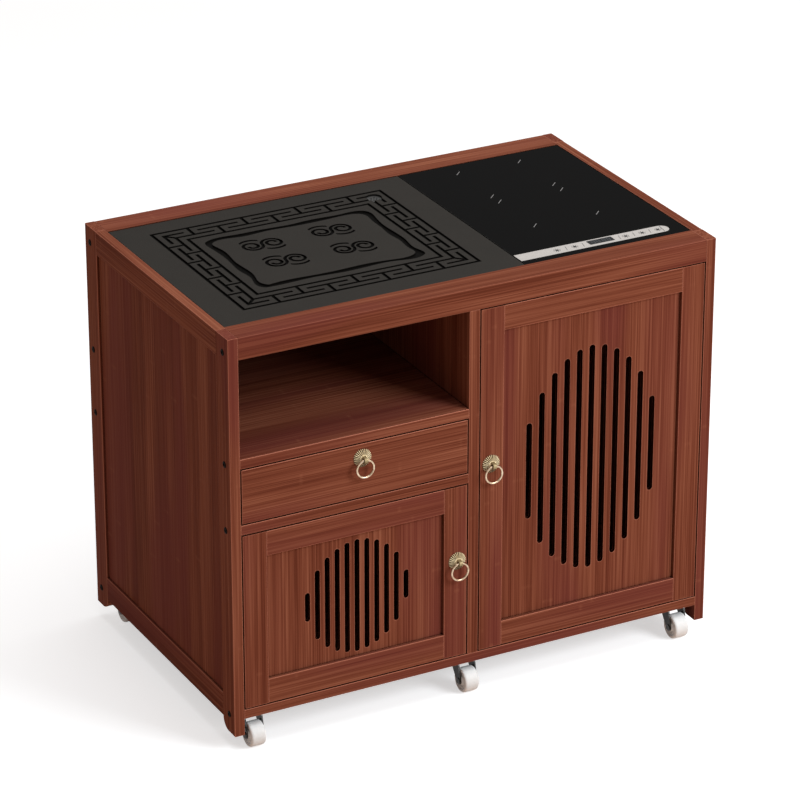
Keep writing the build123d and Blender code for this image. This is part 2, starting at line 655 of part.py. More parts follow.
# ---------------------------------------------------------------- ring pulls
def rosette(x, z):
    """Scalloped plate with a low dome and the eye that the ring hangs in."""
    petal = PETAL_OVERLAP * pi * ROSETTE_RADIUS / ROSETTE_PETALS / 2
    rim = ROSETTE_RADIUS - petal
    outline = Sketch() + Circle(rim) + [
        Rot(0, 0, 360 * i / ROSETTE_PETALS) * Pos(rim, 0) * Circle(petal) for i in range(ROSETTE_PETALS)
    ]
    plate = extrude(outline, ROSETTE_THICKNESS)
    cap_radius = (rim**2 + ROSETTE_DOME**2) / (2 * ROSETTE_DOME)
    cap = Pos(0, 0, ROSETTE_THICKNESS + ROSETTE_DOME - cap_radius) * Sphere(cap_radius)
    above = Pos(0, 0, ROSETTE_THICKNESS + ROSETTE_DOME) * Box(4 * rim, 4 * rim, 2 * ROSETTE_DOME)
    nose = EYE_RADIUS + EYE_WALL
    stem = Pos(0, 0, RING_STAND / 2) * Box(EYE_WIDTH, 2 * nose, RING_STAND)
    tip = Pos(0, 0, RING_STAND) * Rot(0, 90, 0) * Cylinder(nose, EYE_WIDTH)
    eye = Pos(0, 0, RING_STAND) * Rot(0, 90, 0) * Cylinder(EYE_RADIUS, 2 * EYE_WIDTH)
    shape = plate + (cap & above) + stem + tip - eye
    return Pos(x, FRONT, z) * Rot(90, 0, 0) * shape


def pull_ring(x, z):
    ring = Rot(90, 0, 0) * Torus(RING_RADIUS, RING_WIRE)
    return Pos(x, FRONT - RING_STAND, z - RING_RADIUS) * ring


def halfway(low, high, above=0.0):
    return (low + high) / 2 + above


PULLS = {
    "left_door": (
        LEFT_DOOR["x1"] - STILE_WIDTH / 2 + LEFT_PULL_ASIDE,
        halfway(LEFT_DOOR["z0"], LEFT_DOOR["z1"], LEFT_PULL_UP),
    ),
    "right_door": (
        RIGHT_DOOR["x0"] + STILE_WIDTH / 2 + RIGHT_PULL_ASIDE,
        halfway(RIGHT_DOOR["z0"], RIGHT_DOOR["z1"], RIGHT_PULL_UP),
    ),
    "drawer": (
        halfway(DRAWER_X0, DRAWER_X1, DRAWER_PULL_ASIDE),
        halfway(DRAWER_Z0, DRAWER_Z1, DRAWER_PULL_UP),
    ),
}
for owner, (x, z) in PULLS.items():
    save(f"{owner}_rosette", rosette(x, z))
    save(f"{owner}_ring", pull_ring(x, z))


# ---------------------------------------------------------------- casters
CASTER_SPOTS = {
    "front_left": (LEFT + SWIVEL_FROM_LEFT, FRONT + SWIVEL_FROM_FRONT),
    "front_middle": (LEFT + MIDDLE_CASTER_FROM_LEFT, FRONT + SWIVEL_FROM_FRONT),
    "front_right": (RIGHT - SWIVEL_FROM_RIGHT, FRONT + SWIVEL_FROM_FRONT),
    "rear_left": (LEFT + SWIVEL_FROM_LEFT, BACK - SWIVEL_FROM_BACK),
    "rear_middle": (LEFT + MIDDLE_CASTER_FROM_LEFT, BACK - SWIVEL_FROM_BACK),
    "rear_right": (RIGHT - SWIVEL_FROM_RIGHT, BACK - SWIVEL_FROM_BACK),
}
PLATE_UNDER = CASTER_HEIGHT - CASTER_SHEET
CROWN_TOP = PLATE_UNDER - BALL_RACE_GAP
CROWN_UNDER = CROWN_TOP - CASTER_SHEET


def caster_plate():
    """Square top plate with the kingpin that holds the fork."""
    half = CASTER_PLATE / 2
    plate = block(-half, half, -half, half, PLATE_UNDER, CASTER_HEIGHT)
    plate = fillet(plate.edges().filter_by(Axis.Z), FORK_ROUND)
    head_top = CROWN_UNDER - BALL_RACE_GAP
    pin = rod_z(KINGPIN_RADIUS, 0, 0, head_top, PLATE_UNDER)
    head = rod_z(KINGPIN_HEAD, 0, 0, head_top - CASTER_SHEET, head_top)
    return plate + pin + head


def caster_fork():
    """Bent sheet fork: a U seen from the front, tapering to the axle from the side."""
    outside = FORK_INSIDE / 2 + CASTER_SHEET
    low = WHEEL_RADIUS - AXLE_BOSS
    outer = block(-outside, outside, -TRAIL - AXLE_BOSS, FORK_BACK, low, CROWN_TOP)
    outer = fillet(edges_at(outer, Axis.Y, z=CROWN_TOP), FORK_ROUND)
    half = FORK_INSIDE / 2
    inner = block(-half, half, -TRAIL - AXLE_BOSS, FORK_BACK, low - 1, CROWN_UNDER)
    inner = fillet(edges_at(inner, Axis.Y, z=CROWN_UNDER), FORK_ROUND - CASTER_SHEET)
    band = Pos((FORK_BACK - FORK_FRONT) / 2, (CROWN_TOP + CROWN_UNDER) / 2)
    crown_band = band * Rectangle(FORK_BACK + FORK_FRONT, CASTER_SHEET)
    boss = Pos(-TRAIL, WHEEL_RADIUS) * Circle(AXLE_BOSS)
    side = make_hull(crown_band.edges() + boss.edges())
    profile = extrude(Plane.YZ * side, outside, both=True)
    shape = (outer - inner) & profile
    shape = shape - rod_z(KINGPIN_RADIUS + RUNNING_FIT, 0, 0, CROWN_UNDER - 1, CROWN_TOP + 1)
    return shape - rod_x(AXLE_RADIUS, -outside, outside, -TRAIL, WHEEL_RADIUS)


def caster_axle():
    """Riveted axle; its heads clamp the fork legs."""
    outside = FORK_INSIDE / 2 + CASTER_SHEET
    axle = rod_x(AXLE_RADIUS, -outside, outside, -TRAIL, WHEEL_RADIUS)
    for side in (-1, 1):
        x0, x1 = sorted((side * outside, side * (outside + AXLE_HEAD_THICKNESS)))
        axle = axle + rod_x(AXLE_HEAD, x0, x1, -TRAIL, WHEEL_RADIUS)
    return axle


def caster_wheel():
    """Nylon wheel with dished sides, turned round the axle."""
    half, hub = WHEEL_WIDTH / 2, HUB_WIDTH / 2
    bore = AXLE_RADIUS + RUNNING_FIT
    rim = WHEEL_RADIUS - RIM_THICKNESS
    web = half - DISH_DEPTH
    right_side = [
        (hub, bore), (hub, HUB_RADIUS), (web, HUB_RADIUS + DISH_SLOPE), (web, rim - DISH_SLOPE),
        (half, rim), (half, WHEEL_RADIUS - TREAD_ROUND), (TREAD_WIDTH / 2, WHEEL_RADIUS),
    ]
    left_side = [(-x, r) for x, r in reversed(right_side)]
    outline = make_face(Polyline(*right_side, *left_side, close=True))
    return Pos(0, -TRAIL, WHEEL_RADIUS) * revolve(outline, Axis.X)


plate, fork, axle, wheel = caster_plate(), caster_fork(), caster_axle(), caster_wheel()
save("caster_plates", *[Pos(x, y, 0) * plate for x, y in CASTER_SPOTS.values()])
for spot, (x, y) in CASTER_SPOTS.items():
    save(f"{spot}_caster_fork", Pos(x, y, 0) * fork, Pos(x, y, 0) * axle)
    save(f"{spot}_caster_wheel", Pos(x, y, 0) * wheel)


# ---------------------------------------------------------------- stone tray
TRAY_X0 = INNER_LEFT + TOP_GAP
TRAY_X1 = SPLIT - TOP_GAP / 2
FRAME_X0 = TRAY_X0 + FRAME_MARGIN_X
FRAME_X1 = TRAY_X1 - FRAME_MARGIN_X
FRAME_Y0 = TRAY_FRONT + FRAME_MARGIN_FRONT
FRAME_Y1 = TRAY_BACK - FRAME_MARGIN_BACK
CARVE_X = (FRAME_X0 + FRAME_X1) / 2
CARVE_Y = (FRAME_Y0 + FRAME_Y1) / 2
HALF_X = (FRAME_X1 - FRAME_X0) / 2
HALF_Y = (FRAME_Y1 - FRAME_Y0) / 2


def line(x0, y0, x1, y1):
    """A straight carved line of the standard width, square at its ends."""
    reach = LINE_WIDTH / 2
    lo_x, hi_x = sorted((x0, x1))
    lo_y, hi_y = sorted((y0, y1))
    place = Pos((lo_x + hi_x) / 2, (lo_y + hi_y) / 2)
    return place * Rectangle(hi_x - lo_x + 2 * reach, hi_y - lo_y + 2 * reach)


def rectangle_lines(half_x, half_y):
    return [
        line(-half_x, -half_y, half_x, -half_y), line(-half_x, half_y, half_x, half_y),
        line(-half_x, -half_y, -half_x, half_y), line(half_x, -half_y, half_x, half_y),
    ]


def meander_side(half_length):
    """Interlocking T shapes along one side; y grows inwards from the outer line."""
    pitch = 2 * (half_length - MEANDER_CORNER) / 3
    bar = MEANDER_BAR * pitch
    corner_arm = MEANDER_CORNER - 2 * MEANDER_STEP
    lines = []
    for k in (-1.5, -0.5, 0.5, 1.5):
        x = k * pitch
        lines.append(line(x, 0, x, 2 * MEANDER_STEP))
        lines.append(line(x - bar, 2 * MEANDER_STEP, x + bar, 2 * MEANDER_STEP))
    for k in (-1, 0, 1):
        x = k * pitch
        lines.append(line(x, MEANDER_STEP, x, 3 * MEANDER_STEP))
        lines.append(line(x - bar, MEANDER_STEP, x + bar, MEANDER_STEP))
    for side in (-1, 1):
        outer = side * (half_length - MEANDER_STEP)
        inner = side * (half_length - 2 * MEANDER_STEP)
        lines.append(line(outer, MEANDER_STEP, outer - side * corner_arm, MEANDER_STEP))
        lines.append(line(inner, 2 * MEANDER_STEP, side * 1.5 * pitch, 2 * MEANDER_STEP))
    return Sketch() + lines


def corner_tie(side_x, side_y):
    """The short diagonal line that ties the inner corner to the outer one."""
    place = Pos(side_x * (HALF_X - 1.5 * MEANDER_STEP), side_y * (HALF_Y - 1.5 * MEANDER_STEP))
    turn = Rot(0, 0, 45 * side_x * side_y)
    return place * turn * Rectangle(MEANDER_STEP * 2**0.5, LINE_WIDTH)


def meander():
    inner_x, inner_y = HALF_X - 3 * MEANDER_STEP, HALF_Y - 3 * MEANDER_STEP
    long_side = Pos(0, -HALF_Y) * meander_side(HALF_X)
    short_side = Rot(0, 0, -90) * Pos(0, -HALF_X) * meander_side(HALF_Y)
    lines = Sketch() + rectangle_lines(HALF_X, HALF_Y) + rectangle_lines(inner_x, inner_y)
    lines = lines + [corner_tie(side_x, side_y) for side_x in (-1, 1) for side_y in (-1, 1)]
    return lines + long_side + Rot(0, 0, 180) * long_side + short_side + Rot(0, 0, 180) * short_side


def wavy_loop(grow, phase):
    """A closed, slightly uneven rectangle with firm corners, as if cut by hand."""
    half_x, half_y = HALF_X - WAVE_INSET + grow, HALF_Y - WAVE_INSET + grow
    corners = [(-half_x, -half_y), (half_x, -half_y), (half_x, half_y), (-half_x, half_y)]
    points = []
    for side in range(4):
        (x0, y0), (x1, y1) = corners[side], corners[(side + 1) % 4]
        out_x, out_y = (y1 - y0) / (2 * half_y), (x0 - x1) / (2 * half_x)
        for k, share in enumerate(WAVE_POINTS):
            swing = WAVE_SWING * sin(phase + WAVE_STEP * k + WAVE_TURN * side)
            x, y = x0 + (x1 - x0) * share, y0 + (y1 - y0) * share
            points.append((x + out_x * swing, y + out_y * swing))
    return make_face(Spline(*points, periodic=True))


def scroll(radius, turns):
    """A spiral of half rings, each smaller than the last."""
    shape = Sketch()
    centre = 0.0
    for k in range(turns):
        r = radius * (1 - k / (turns + 1))
        ring = Circle(r + LINE_WIDTH / 2) - Circle(r - LINE_WIDTH / 2)
        side = 1 if k % 2 == 0 else -1
        half = Pos(0, side * radius) * Rectangle(4 * radius, 2 * radius)
        shape = shape + Pos(centre, 0) * (ring & half)
        centre = centre + side * radius / (turns + 1)
    return shape


def bow(width):
    """A curved stroke that arches over a scroll."""
    ring = Circle(CLOUD_BOW) - Pos(0, -LINE_WIDTH) * Circle(CLOUD_BOW)
    return Pos(0, -CLOUD_BOW) * (ring & Pos(0, CLOUD_BOW) * Rectangle(width, CLOUD_BOW))


def cloud():
    """A plain cloud motif: two scrolls joined in an S, each with a bow beside it."""
    half = Pos(CLOUD_SCROLL, 0) * scroll(CLOUD_SCROLL, CLOUD_TURNS)
    half = half + Pos(-CLOUD_SCROLL, CLOUD_SCROLL + 2 * LINE_WIDTH) * bow(2 * CLOUD_SCROLL)
    return half + Rot(0, 0, 180) * half


DRAIN_X = CARVE_X + HALF_X - 1.5 * MEANDER_STEP
DRAIN_Y = CARVE_Y + HALF_Y - 1.5 * MEANDER_STEP


def stone_tray():
    stone = block(TRAY_X0, TRAY_X1, TRAY_FRONT, TRAY_BACK, LEDGE_TOP, SURFACE)
    stone = fillet(stone.faces().sort_by(Axis.Z)[-1].edges(), EDGE_ROUND)
    outer_edge = wavy_loop(WAVE_WIDTH / 2, WAVE_PHASES[0])
    inner_edge = wavy_loop(-WAVE_WIDTH / 2, WAVE_PHASES[1])
    clouds = Sketch() + [Pos(x, y) * cloud() for x, y in CLOUD_SPOTS]
    carving = meander() + (outer_edge - inner_edge) + clouds
    cutter = extrude(Pos(CARVE_X, CARVE_Y, SURFACE - CARVING_DEPTH) * carving, CARVING_DEPTH + 1)
    stone = stone - cutter
    recess = SURFACE - CARVING_DEPTH - STRAINER_THICKNESS
    stone = stone - rod_z(STRAINER_RADIUS, DRAIN_X, DRAIN_Y, recess, SURFACE + 1)
    return stone - rod_z(DRAIN_RADIUS, DRAIN_X, DRAIN_Y, LEDGE_TOP - 1, SURFACE)


def strainer():
    """Perforated steel disc in the drain recess."""
    z0 = SURFACE - CARVING_DEPTH - STRAINER_THICKNESS
    z1 = z0 + STRAINER_THICKNESS
    disc = rod_z(STRAINER_RADIUS - WOOD_FIT, DRAIN_X, DRAIN_Y, z0, z1)
    disc = disc - rod_z(STRAINER_HOLE, DRAIN_X, DRAIN_Y, z0, z1)
    for k in range(6):
        x = DRAIN_X + STRAINER_CIRCLE * cos(k * pi / 3)
        y = DRAIN_Y + STRAINER_CIRCLE * sin(k * pi / 3)
        disc = disc - rod_z(STRAINER_HOLE, x, y, z0, z1)
    return disc


def spigot():
    """Hose spigot glued under the tray, round the drain."""
    flange = rod_z(SPIGOT_FLANGE, DRAIN_X, DRAIN_Y, LEDGE_TOP - SPIGOT_FLANGE_THICKNESS, LEDGE_TOP)
    tube_end = LEDGE_TOP - SPIGOT_FLANGE_THICKNESS - SPIGOT_LENGTH
    tube = rod_z(DRAIN_RADIUS, DRAIN_X, DRAIN_Y, tube_end, LEDGE_TOP - SPIGOT_FLANGE_THICKNESS)
    bore = rod_z(DRAIN_RADIUS - SPIGOT_WALL, DRAIN_X, DRAIN_Y, tube_end - 1, LEDGE_TOP + 1)
    return flange + tube - bore


save("stone_tray", stone_tray())
save("tray_strainer", strainer())
save("drain_spigot", spigot())


# ---------------------------------------------------------------- cooktop
COOK_X0 = SPLIT + TOP_GAP / 2
COOK_X1 = INNER_RIGHT - TOP_GAP
GLASS_UNDER = SURFACE - GLASS_THICKNESS
TUB_X0 = SPLIT + BEARER_WIDTH / 2 + TUB_MARGIN
TUB_X1 = INNER_RIGHT - TUB_SIDE_MARGIN
TUB_Y0 = LEDGE_FRONT + TUB_MARGIN
TUB_Y1 = LEDGE_BACK - TUB_MARGIN
TUB_BOTTOM = GLASS_UNDER - TUB_DEPTH
TUB_FLOOR = TUB_BOTTOM + SHEET_METAL
COIL_X = (COOK_X0 + COOK_X1) / 2
BOARD_X0 = TUB_X0 + BOARD_MARGIN
BOARD_Y0 = TUB_Y0 + BOARD_MARGIN
BOARD_Z = TUB_FLOOR + BOARD_STANDOFF
FAN_X = TUB_X1 - SHEET_METAL - BOARD_MARGIN - FAN_SIZE / 2
FAN_Y = BOARD_Y0 + FAN_SIZE / 2
BOARD_LENGTH = FAN_X - FAN_SIZE / 2 - BOARD_FAN_GAP - BOARD_X0
COILS_Y0 = BOARD_Y0 + BOARD_DEPTH + COIL_BOARD_GAP
COILS_Y1 = TUB_Y1 - SHEET_METAL - COIL_WALL_GAP
COIL_RADIUS = (COILS_Y1 - COILS_Y0 - COIL_GAP) / 4
COIL_ROWS = [COILS_Y0 + COIL_RADIUS, COILS_Y1 - COIL_RADIUS]
COIL_TOP = GLASS_UNDER - COIL_UNDER_GLASS


def cooktop_glass():
    glass = block(COOK_X0, COOK_X1, TRAY_FRONT, TRAY_BACK, GLASS_UNDER, SURFACE)
    glass = fillet(glass.edges().filter_by(Axis.Z), GLASS_CORNER)
    return chamfer(glass.faces().sort_by(Axis.Z)[-1].edges(), GLASS_BEVEL)


def cooktop_housing():
    """Sheet-metal tub under the glass, its rim standing on the ledges."""
    wall = SHEET_METAL
    rim = block(COOK_X0, COOK_X1, TRAY_FRONT, TRAY_BACK, LEDGE_TOP, GLASS_UNDER)
    tub = block(TUB_X0, TUB_X1, TUB_Y0, TUB_Y1, TUB_BOTTOM, LEDGE_TOP)
    rim_inside = block(
        COOK_X0 + wall, COOK_X1 - wall, TRAY_FRONT + wall, TRAY_BACK - wall, LEDGE_TOP + wall, GLASS_UNDER,
    )
    tub_inside = block(
        TUB_X0 + wall, TUB_X1 - wall, TUB_Y0 + wall, TUB_Y1 - wall, TUB_FLOOR, LEDGE_TOP + wall,
    )
    shape = rim + tub - rim_inside - tub_inside
    for y in COIL_ROWS:
        for k in range(3):
            angle = 2 * pi * k / 3 + pi / 2
            px = COIL_X + COIL_PILLAR_CIRCLE * cos(angle)
            py = y + COIL_PILLAR_CIRCLE * sin(angle)
            shape = shape + rod_z(COIL_PILLAR, px, py, TUB_BOTTOM, COIL_TOP - COIL_THICKNESS)
    for dx in (BOARD_POST_INSET, BOARD_LENGTH - BOARD_POST_INSET):
        for dy in (BOARD_POST_INSET, BOARD_DEPTH - BOARD_POST_INSET):
            shape = shape + rod_z(BOARD_POST, BOARD_X0 + dx, BOARD_Y0 + dy, TUB_BOTTOM, BOARD_Z)
    slot = Pos(FAN_X, FAN_Y, TUB_BOTTOM) * Box(*INTAKE_SLOT, 2 * SHEET_METAL + 1)
    for k in range(INTAKE_SLOTS):
        shape = shape - Pos(0, INTAKE_PITCH * (k - (INTAKE_SLOTS - 1) / 2), 0) * slot
    return shape


def coil(y):
    disc = rod_z(COIL_RADIUS, COIL_X, y, COIL_TOP - COIL_THICKNESS, COIL_TOP)
    return disc - rod_z(COIL_HOLE, COIL_X, y, COIL_TOP - COIL_THICKNESS, COIL_TOP)


def control_board():
    """Circuit board with its heat sink and two capacitors."""
    length, depth = BOARD_LENGTH, BOARD_DEPTH
    x0, y0, z0 = BOARD_X0, BOARD_Y0, BOARD_Z + BOARD_THICKNESS
    shape = block(x0, x0 + length, y0, y0 + depth, BOARD_Z, z0)
    sink_length, sink_depth, sink_height = SINK_SIZE
    x1, y1 = x0 + 2 * BOARD_MARGIN, y0 + (depth - sink_depth) / 2
    shape = shape + block(x1, x1 + sink_length, y1, y1 + sink_depth, z0, z0 + SINK_BASE)
    for k in range(SINK_FINS):
        fin = x1 + k * (sink_length - SINK_FIN) / (SINK_FINS - 1)
        shape = shape + block(fin, fin + SINK_FIN, y1, y1 + sink_depth, z0 + SINK_BASE, z0 + sink_height)
    radius, height = CAPACITOR
    for k in range(2):
        x = x0 + length - BOARD_MARGIN - radius - k * (2 * radius + BOARD_MARGIN / 2)
        shape = shape + rod_z(radius, x, y0 + depth / 2, z0, z0 + height)
    return shape


def fan_frame():
    half = FAN_SIZE / 2
    z0, z1 = TUB_FLOOR, TUB_FLOOR + FAN_HEIGHT
    frame = block(FAN_X - half, FAN_X + half, FAN_Y - half, FAN_Y + half, z0, z1)
    frame = fillet(frame.edges().filter_by(Axis.Z), FAN_CORNER)
    frame = frame - rod_z(FAN_BORE, FAN_X, FAN_Y, z0, z1)
    for angle in (45, 135):
        arm = Box(2 * FAN_BORE + FAN_PLATE, FAN_ARM, FAN_PLATE)
        frame = frame + Pos(FAN_X, FAN_Y, z0 + FAN_PLATE / 2) * Rot(0, 0, angle) * arm
    frame = frame + rod_z(FAN_HUB, FAN_X, FAN_Y, z0, z0 + FAN_PLATE)
    return frame + rod_z(FAN_SPINDLE, FAN_X, FAN_Y, z0, z1 - FAN_PLATE)


def fan_rotor():
    """Hub and pitched blades, free to turn on the spindle."""
    z0, z1 = TUB_FLOOR + FAN_PLATE + FAN_CLEARANCE, TUB_FLOOR + FAN_HEIGHT - FAN_CLEARANCE
    rotor = rod_z(FAN_HUB, FAN_X, FAN_Y, z0, z1)
    tip = FAN_BORE - FAN_TIP_GAP
    blade = Box(tip - FAN_HUB + FAN_PLATE, BLADE_THICKNESS, FAN_HEIGHT)
    blade = Pos((FAN_HUB + tip) / 2, 0, 0) * Rot(BLADE_PITCH, 0, 0) * blade
    for k in range(FAN_BLADES):
        rotor = rotor + Pos(FAN_X, FAN_Y, (z0 + z1) / 2) * Rot(0, 0, 360 * k / FAN_BLADES) * blade
    rotor = rotor & rod_z(tip, FAN_X, FAN_Y, z0, z1)
    return rotor - rod_z(FAN_SPINDLE + RUNNING_FIT, FAN_X, FAN_Y, z0, z1 - FAN_PLATE / 2)


def power_inlet():
    """Three-pin inlet on the rear wall of the tub."""
    width, depth, height = INLET_SIZE
    x, z = (TUB_X0 + TUB_X1) / 2, TUB_FLOOR + INLET_LIFT
    side, wall = width / 2, INLET_WALL
    body = block(x - side, x + side, TUB_Y1, TUB_Y1 + depth, z, z + height)
    mouth = Box(width - 2 * wall, depth - wall, height - 2 * wall)
    body = body - Pos(x, TUB_Y1 + (depth + wall) / 2, z + height / 2) * mouth
    pin_width, pin_height = INLET_PIN
    for dx, dz in INLET_PINS:
        pin = Box(pin_width, depth - wall, pin_height)
        body = body + Pos(x + dx, TUB_Y1 + (depth - wall) / 2, z + dz) * pin
    return body


save("cooktop_glass", cooktop_glass())
save("cooktop_housing", cooktop_housing())
save("induction_coils", *[coil(y) for y in COIL_ROWS])
save("cooktop_control_board", control_board())
save("fan_frame", fan_frame())
save("fan_rotor", fan_rotor())
save("power_inlet", power_inlet())
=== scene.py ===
# %% [markdown]
# # A tea cabinet on casters
#
# This cabinet serves tea: a carved stone tray and a glass cooktop lie flush in its top, tea stands in an open
# niche, and cups and water wait behind two slatted doors and in a drawer. Its boards, tray, cooktop and
# casters arrive as solids at their real size. This lesson gives each of them a finish, and it makes the small
# fittings that need more shape than a solid has: fluted pulls, bolts, screws, wheels and the cooktop's print.
#
# The loaded frame is in metres: X to the right, Y to the back, Z up, with the floor at zero.

# %% Load the cabinet
import math

import bmesh
import bpy
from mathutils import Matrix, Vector


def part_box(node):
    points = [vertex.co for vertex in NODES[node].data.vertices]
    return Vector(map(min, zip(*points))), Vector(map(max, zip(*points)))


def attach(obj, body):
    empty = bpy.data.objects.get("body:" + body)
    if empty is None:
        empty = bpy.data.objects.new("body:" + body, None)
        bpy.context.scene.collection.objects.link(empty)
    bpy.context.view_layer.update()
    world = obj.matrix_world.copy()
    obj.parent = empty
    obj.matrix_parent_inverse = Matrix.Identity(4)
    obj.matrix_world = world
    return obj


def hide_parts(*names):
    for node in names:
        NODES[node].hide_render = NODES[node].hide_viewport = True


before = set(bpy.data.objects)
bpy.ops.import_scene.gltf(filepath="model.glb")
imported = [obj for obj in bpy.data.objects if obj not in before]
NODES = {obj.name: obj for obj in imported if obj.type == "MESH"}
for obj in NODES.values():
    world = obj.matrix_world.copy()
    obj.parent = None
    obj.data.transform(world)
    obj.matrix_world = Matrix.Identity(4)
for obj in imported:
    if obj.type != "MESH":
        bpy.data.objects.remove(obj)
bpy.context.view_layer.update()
MM = 0.001

# %% [markdown]
# ## Helpers for materials
#
# A shader or a Geometry Nodes tree is a list of nodes and wires. Written out one call at a time it hides the
# idea, so `Tree` adds a node and wires it in one line: an input that is another node's output becomes a wire,
# and anything else becomes the socket's value. Colours are easiest to choose as screen values from 0 to 255,
# so `srgb` turns those into the linear light that a renderer adds up. Every material ends in the same few
# wires, so `wire_shader` and `wire_relief` lay them.


# %% Colours
def srgb(red, green, blue):
    """Linear colour of a screen colour given from 0 to 255."""
    def linear(value):
        share = value / 255
        return share / 12.92 if share <= 0.04045 else ((share + 0.055) / 1.055) ** 2.4
    return (linear(red), linear(green), linear(blue), 1.0)


print("half grey is", round(srgb(128, 128, 128)[0], 3), "in linear light")


# %% A tree of nodes
class Tree:
    """Adds nodes to a tree; an input is a plain value or another node's output."""

    def __init__(self, tree):
        self.nodes = tree.nodes
        self.links = tree.links

    def add(self, kind, inputs=None, **settings):
        node = self.nodes.new(kind)
        for name, value in settings.items():
            setattr(node, name, value)
        for socket, value in (inputs or {}).items():
            self.feed(node.inputs[socket], value)
        return node

    def feed(self, socket, value):
        if isinstance(value, bpy.types.NodeSocket):
            self.links.new(value, socket)
        else:
            socket.default_value = value

    def math(self, operation, first, second=0.0, third=0.0):
        return self.add("ShaderNodeMath", {0: first, 1: second, 2: third}, operation=operation).outputs[0]

    def times(self, first, second):
        return self.math("MULTIPLY", first, second)

    def plus(self, first, second):
        return self.math("ADD", first, second)

    def minus(self, first, second):
        return self.math("SUBTRACT", first, second)

    def vector(self, operation, first, second=(0.0, 0.0, 0.0)):
        node = self.add("ShaderNodeVectorMath", {0: first, 1: second}, operation=operation)
        return node.outputs["Value" if operation in ("DOT_PRODUCT", "LENGTH") else "Vector"]

    def object_place(self):
        """Where the shaded point lies on its own object, in metres."""
        return self.add("ShaderNodeTexCoord").outputs["Object"]

    def join(self, x, y, z):
        return self.add("ShaderNodeCombineXYZ", {"X": x, "Y": y, "Z": z}).outputs[0]

    def split(self, vector):
        return self.add("ShaderNodeSeparateXYZ", {0: vector}).outputs

    def noise(self, vector, scale, detail=2.0, roughness=0.5):
        inputs = {"Vector": vector, "Scale": scale, "Detail": detail, "Roughness": roughness}
        return self.add("ShaderNodeTexNoise", inputs).outputs[0]

    def remap(self, value, low, high, to_low=0.0, to_high=1.0, smooth=False):
        kind = "SMOOTHSTEP" if smooth else "LINEAR"
        inputs = {"Value": value, "From Min": low, "From Max": high, "To Min": to_low, "To Max": to_high}
        return self.add("ShaderNodeMapRange", inputs, interpolation_type=kind).outputs[0]

    def mix(self, factor, first, second, blend="MIX"):
        node = self.add("ShaderNodeMix", data_type="RGBA", blend_type=blend)
        for index, value in ((0, factor), (6, first), (7, second)):
            self.feed(node.inputs[index], value)
        return node.outputs[2]

    def between(self, value, low, high, soft):
        """1 where the value lies between low and high, with a soft edge."""
        rise = self.remap(value, low - soft, low + soft)
        fall = self.remap(value, high - soft, high + soft, 1.0, 0.0)
        return self.times(rise, fall)


print("Tree has", sum(callable(value) for value in vars(Tree).values()), "methods")


# %% Groups, materials and the wires that end them
def new_group(name, kind, inputs, outputs):
    """An empty node group with named sockets: its tree, its input node and its output node."""
    group = bpy.data.node_groups.new(name, kind)
    for label, socket, value in inputs:
        made = group.interface.new_socket(label, in_out="INPUT", socket_type=socket)
        if value is not None:
            made.default_value = value
    for label, socket in outputs:
        group.interface.new_socket(label, in_out="OUTPUT", socket_type=socket)
    tree = Tree(group)
    return group, tree, tree.add("NodeGroupInput"), tree.add("NodeGroupOutput")


def size_sockets(sizes):
    """Group inputs for named sizes: counts are whole numbers, lengths are not."""
    kinds = {int: "NodeSocketInt", float: "NodeSocketFloat"}
    return [(label, kinds[type(value)], value) for label, value in sizes.items()]


def new_material(name):
    """A material with its Principled shader and the tree to add to."""
    material = bpy.data.materials.new(name)
    material.use_nodes = True
    tree = Tree(material.node_tree)
    return material, tree, tree.nodes["Principled BSDF"]


def wire_shader(t, shader, color, roughness, metallic=0.0, specular=0.5):
    """Gives a shader its colour, its roughness, how metallic it is and how strongly it reflects."""
    t.feed(shader.inputs["Base Color"], color)
    t.feed(shader.inputs["Roughness"], roughness)
    t.feed(shader.inputs["Metallic"], metallic)
    t.feed(shader.inputs["Specular IOR Level"], specular)


def wire_relief(t, shader, height, strength, distance=0.2 * MM):
    """Lets a height bend the light on a shader's surface."""
    bump = t.add("ShaderNodeBump", {"Height": height, "Strength": strength, "Distance": distance})
    t.feed(shader.inputs["Normal"], bump.outputs[0])


def dress(node, material):
    """Gives a cabinet part its finish."""
    for slot in NODES[node].material_slots:
        slot.material = material


print("helpers ready")

# %% [markdown]
# ## Stained bamboo
#
# The boards are laminated bamboo: strips 9 or 18 mm wide, glued side by side, each a slightly different tone,
# with fine straight fibres and, here and there, the pale mark of a culm's joint. The red-brown stain sinks in
# unevenly and turns plum in places. An image would need unwrapped boards and would repeat, so the wood is a
# rule instead: white noise picks one tone for each strip, and noises stretched along the grain draw the
# fibres. The rule is a node group, and every board places it with its own grain direction and seed, so no
# two boards match.

# %% Strips, grain and stain
WIDE, NARROW = 18.0 * MM, 9.3 * MM      # widths of the glued strips
FIBRE = (1100.0, 6.0)                   # cycles per metre across and along the grain
STREAK = (360.0, 2.2)
CLOUDING = (26.0, 2.4)
STAIN = (11.0, 1.7)
STRIP_SHARE, FIBRE_SHARE, STREAK_SHARE, CLOUD_SHARE = 0.07, 0.36, 0.42, 0.20
MIDDLE_TONES, LIGHT_TONES = (0.39, 0.56), (0.50, 0.70)      # where a tone turns middle, and where light
PLUM_SHARE = 0.55
JOINT_SPACING = 0.26                    # metres from one culm joint to the next
JOINT_HALF = 0.008                      # half a joint mark's height, as a share of that spacing
JOINT_SHARE, GLUE_SHARE = 0.35, 0.16
OUTSIDE = {
    "Dark": srgb(96, 49, 35), "Middle": srgb(122, 69, 51),
    "Light": srgb(148, 94, 72), "Plum": srgb(108, 53, 50),
}
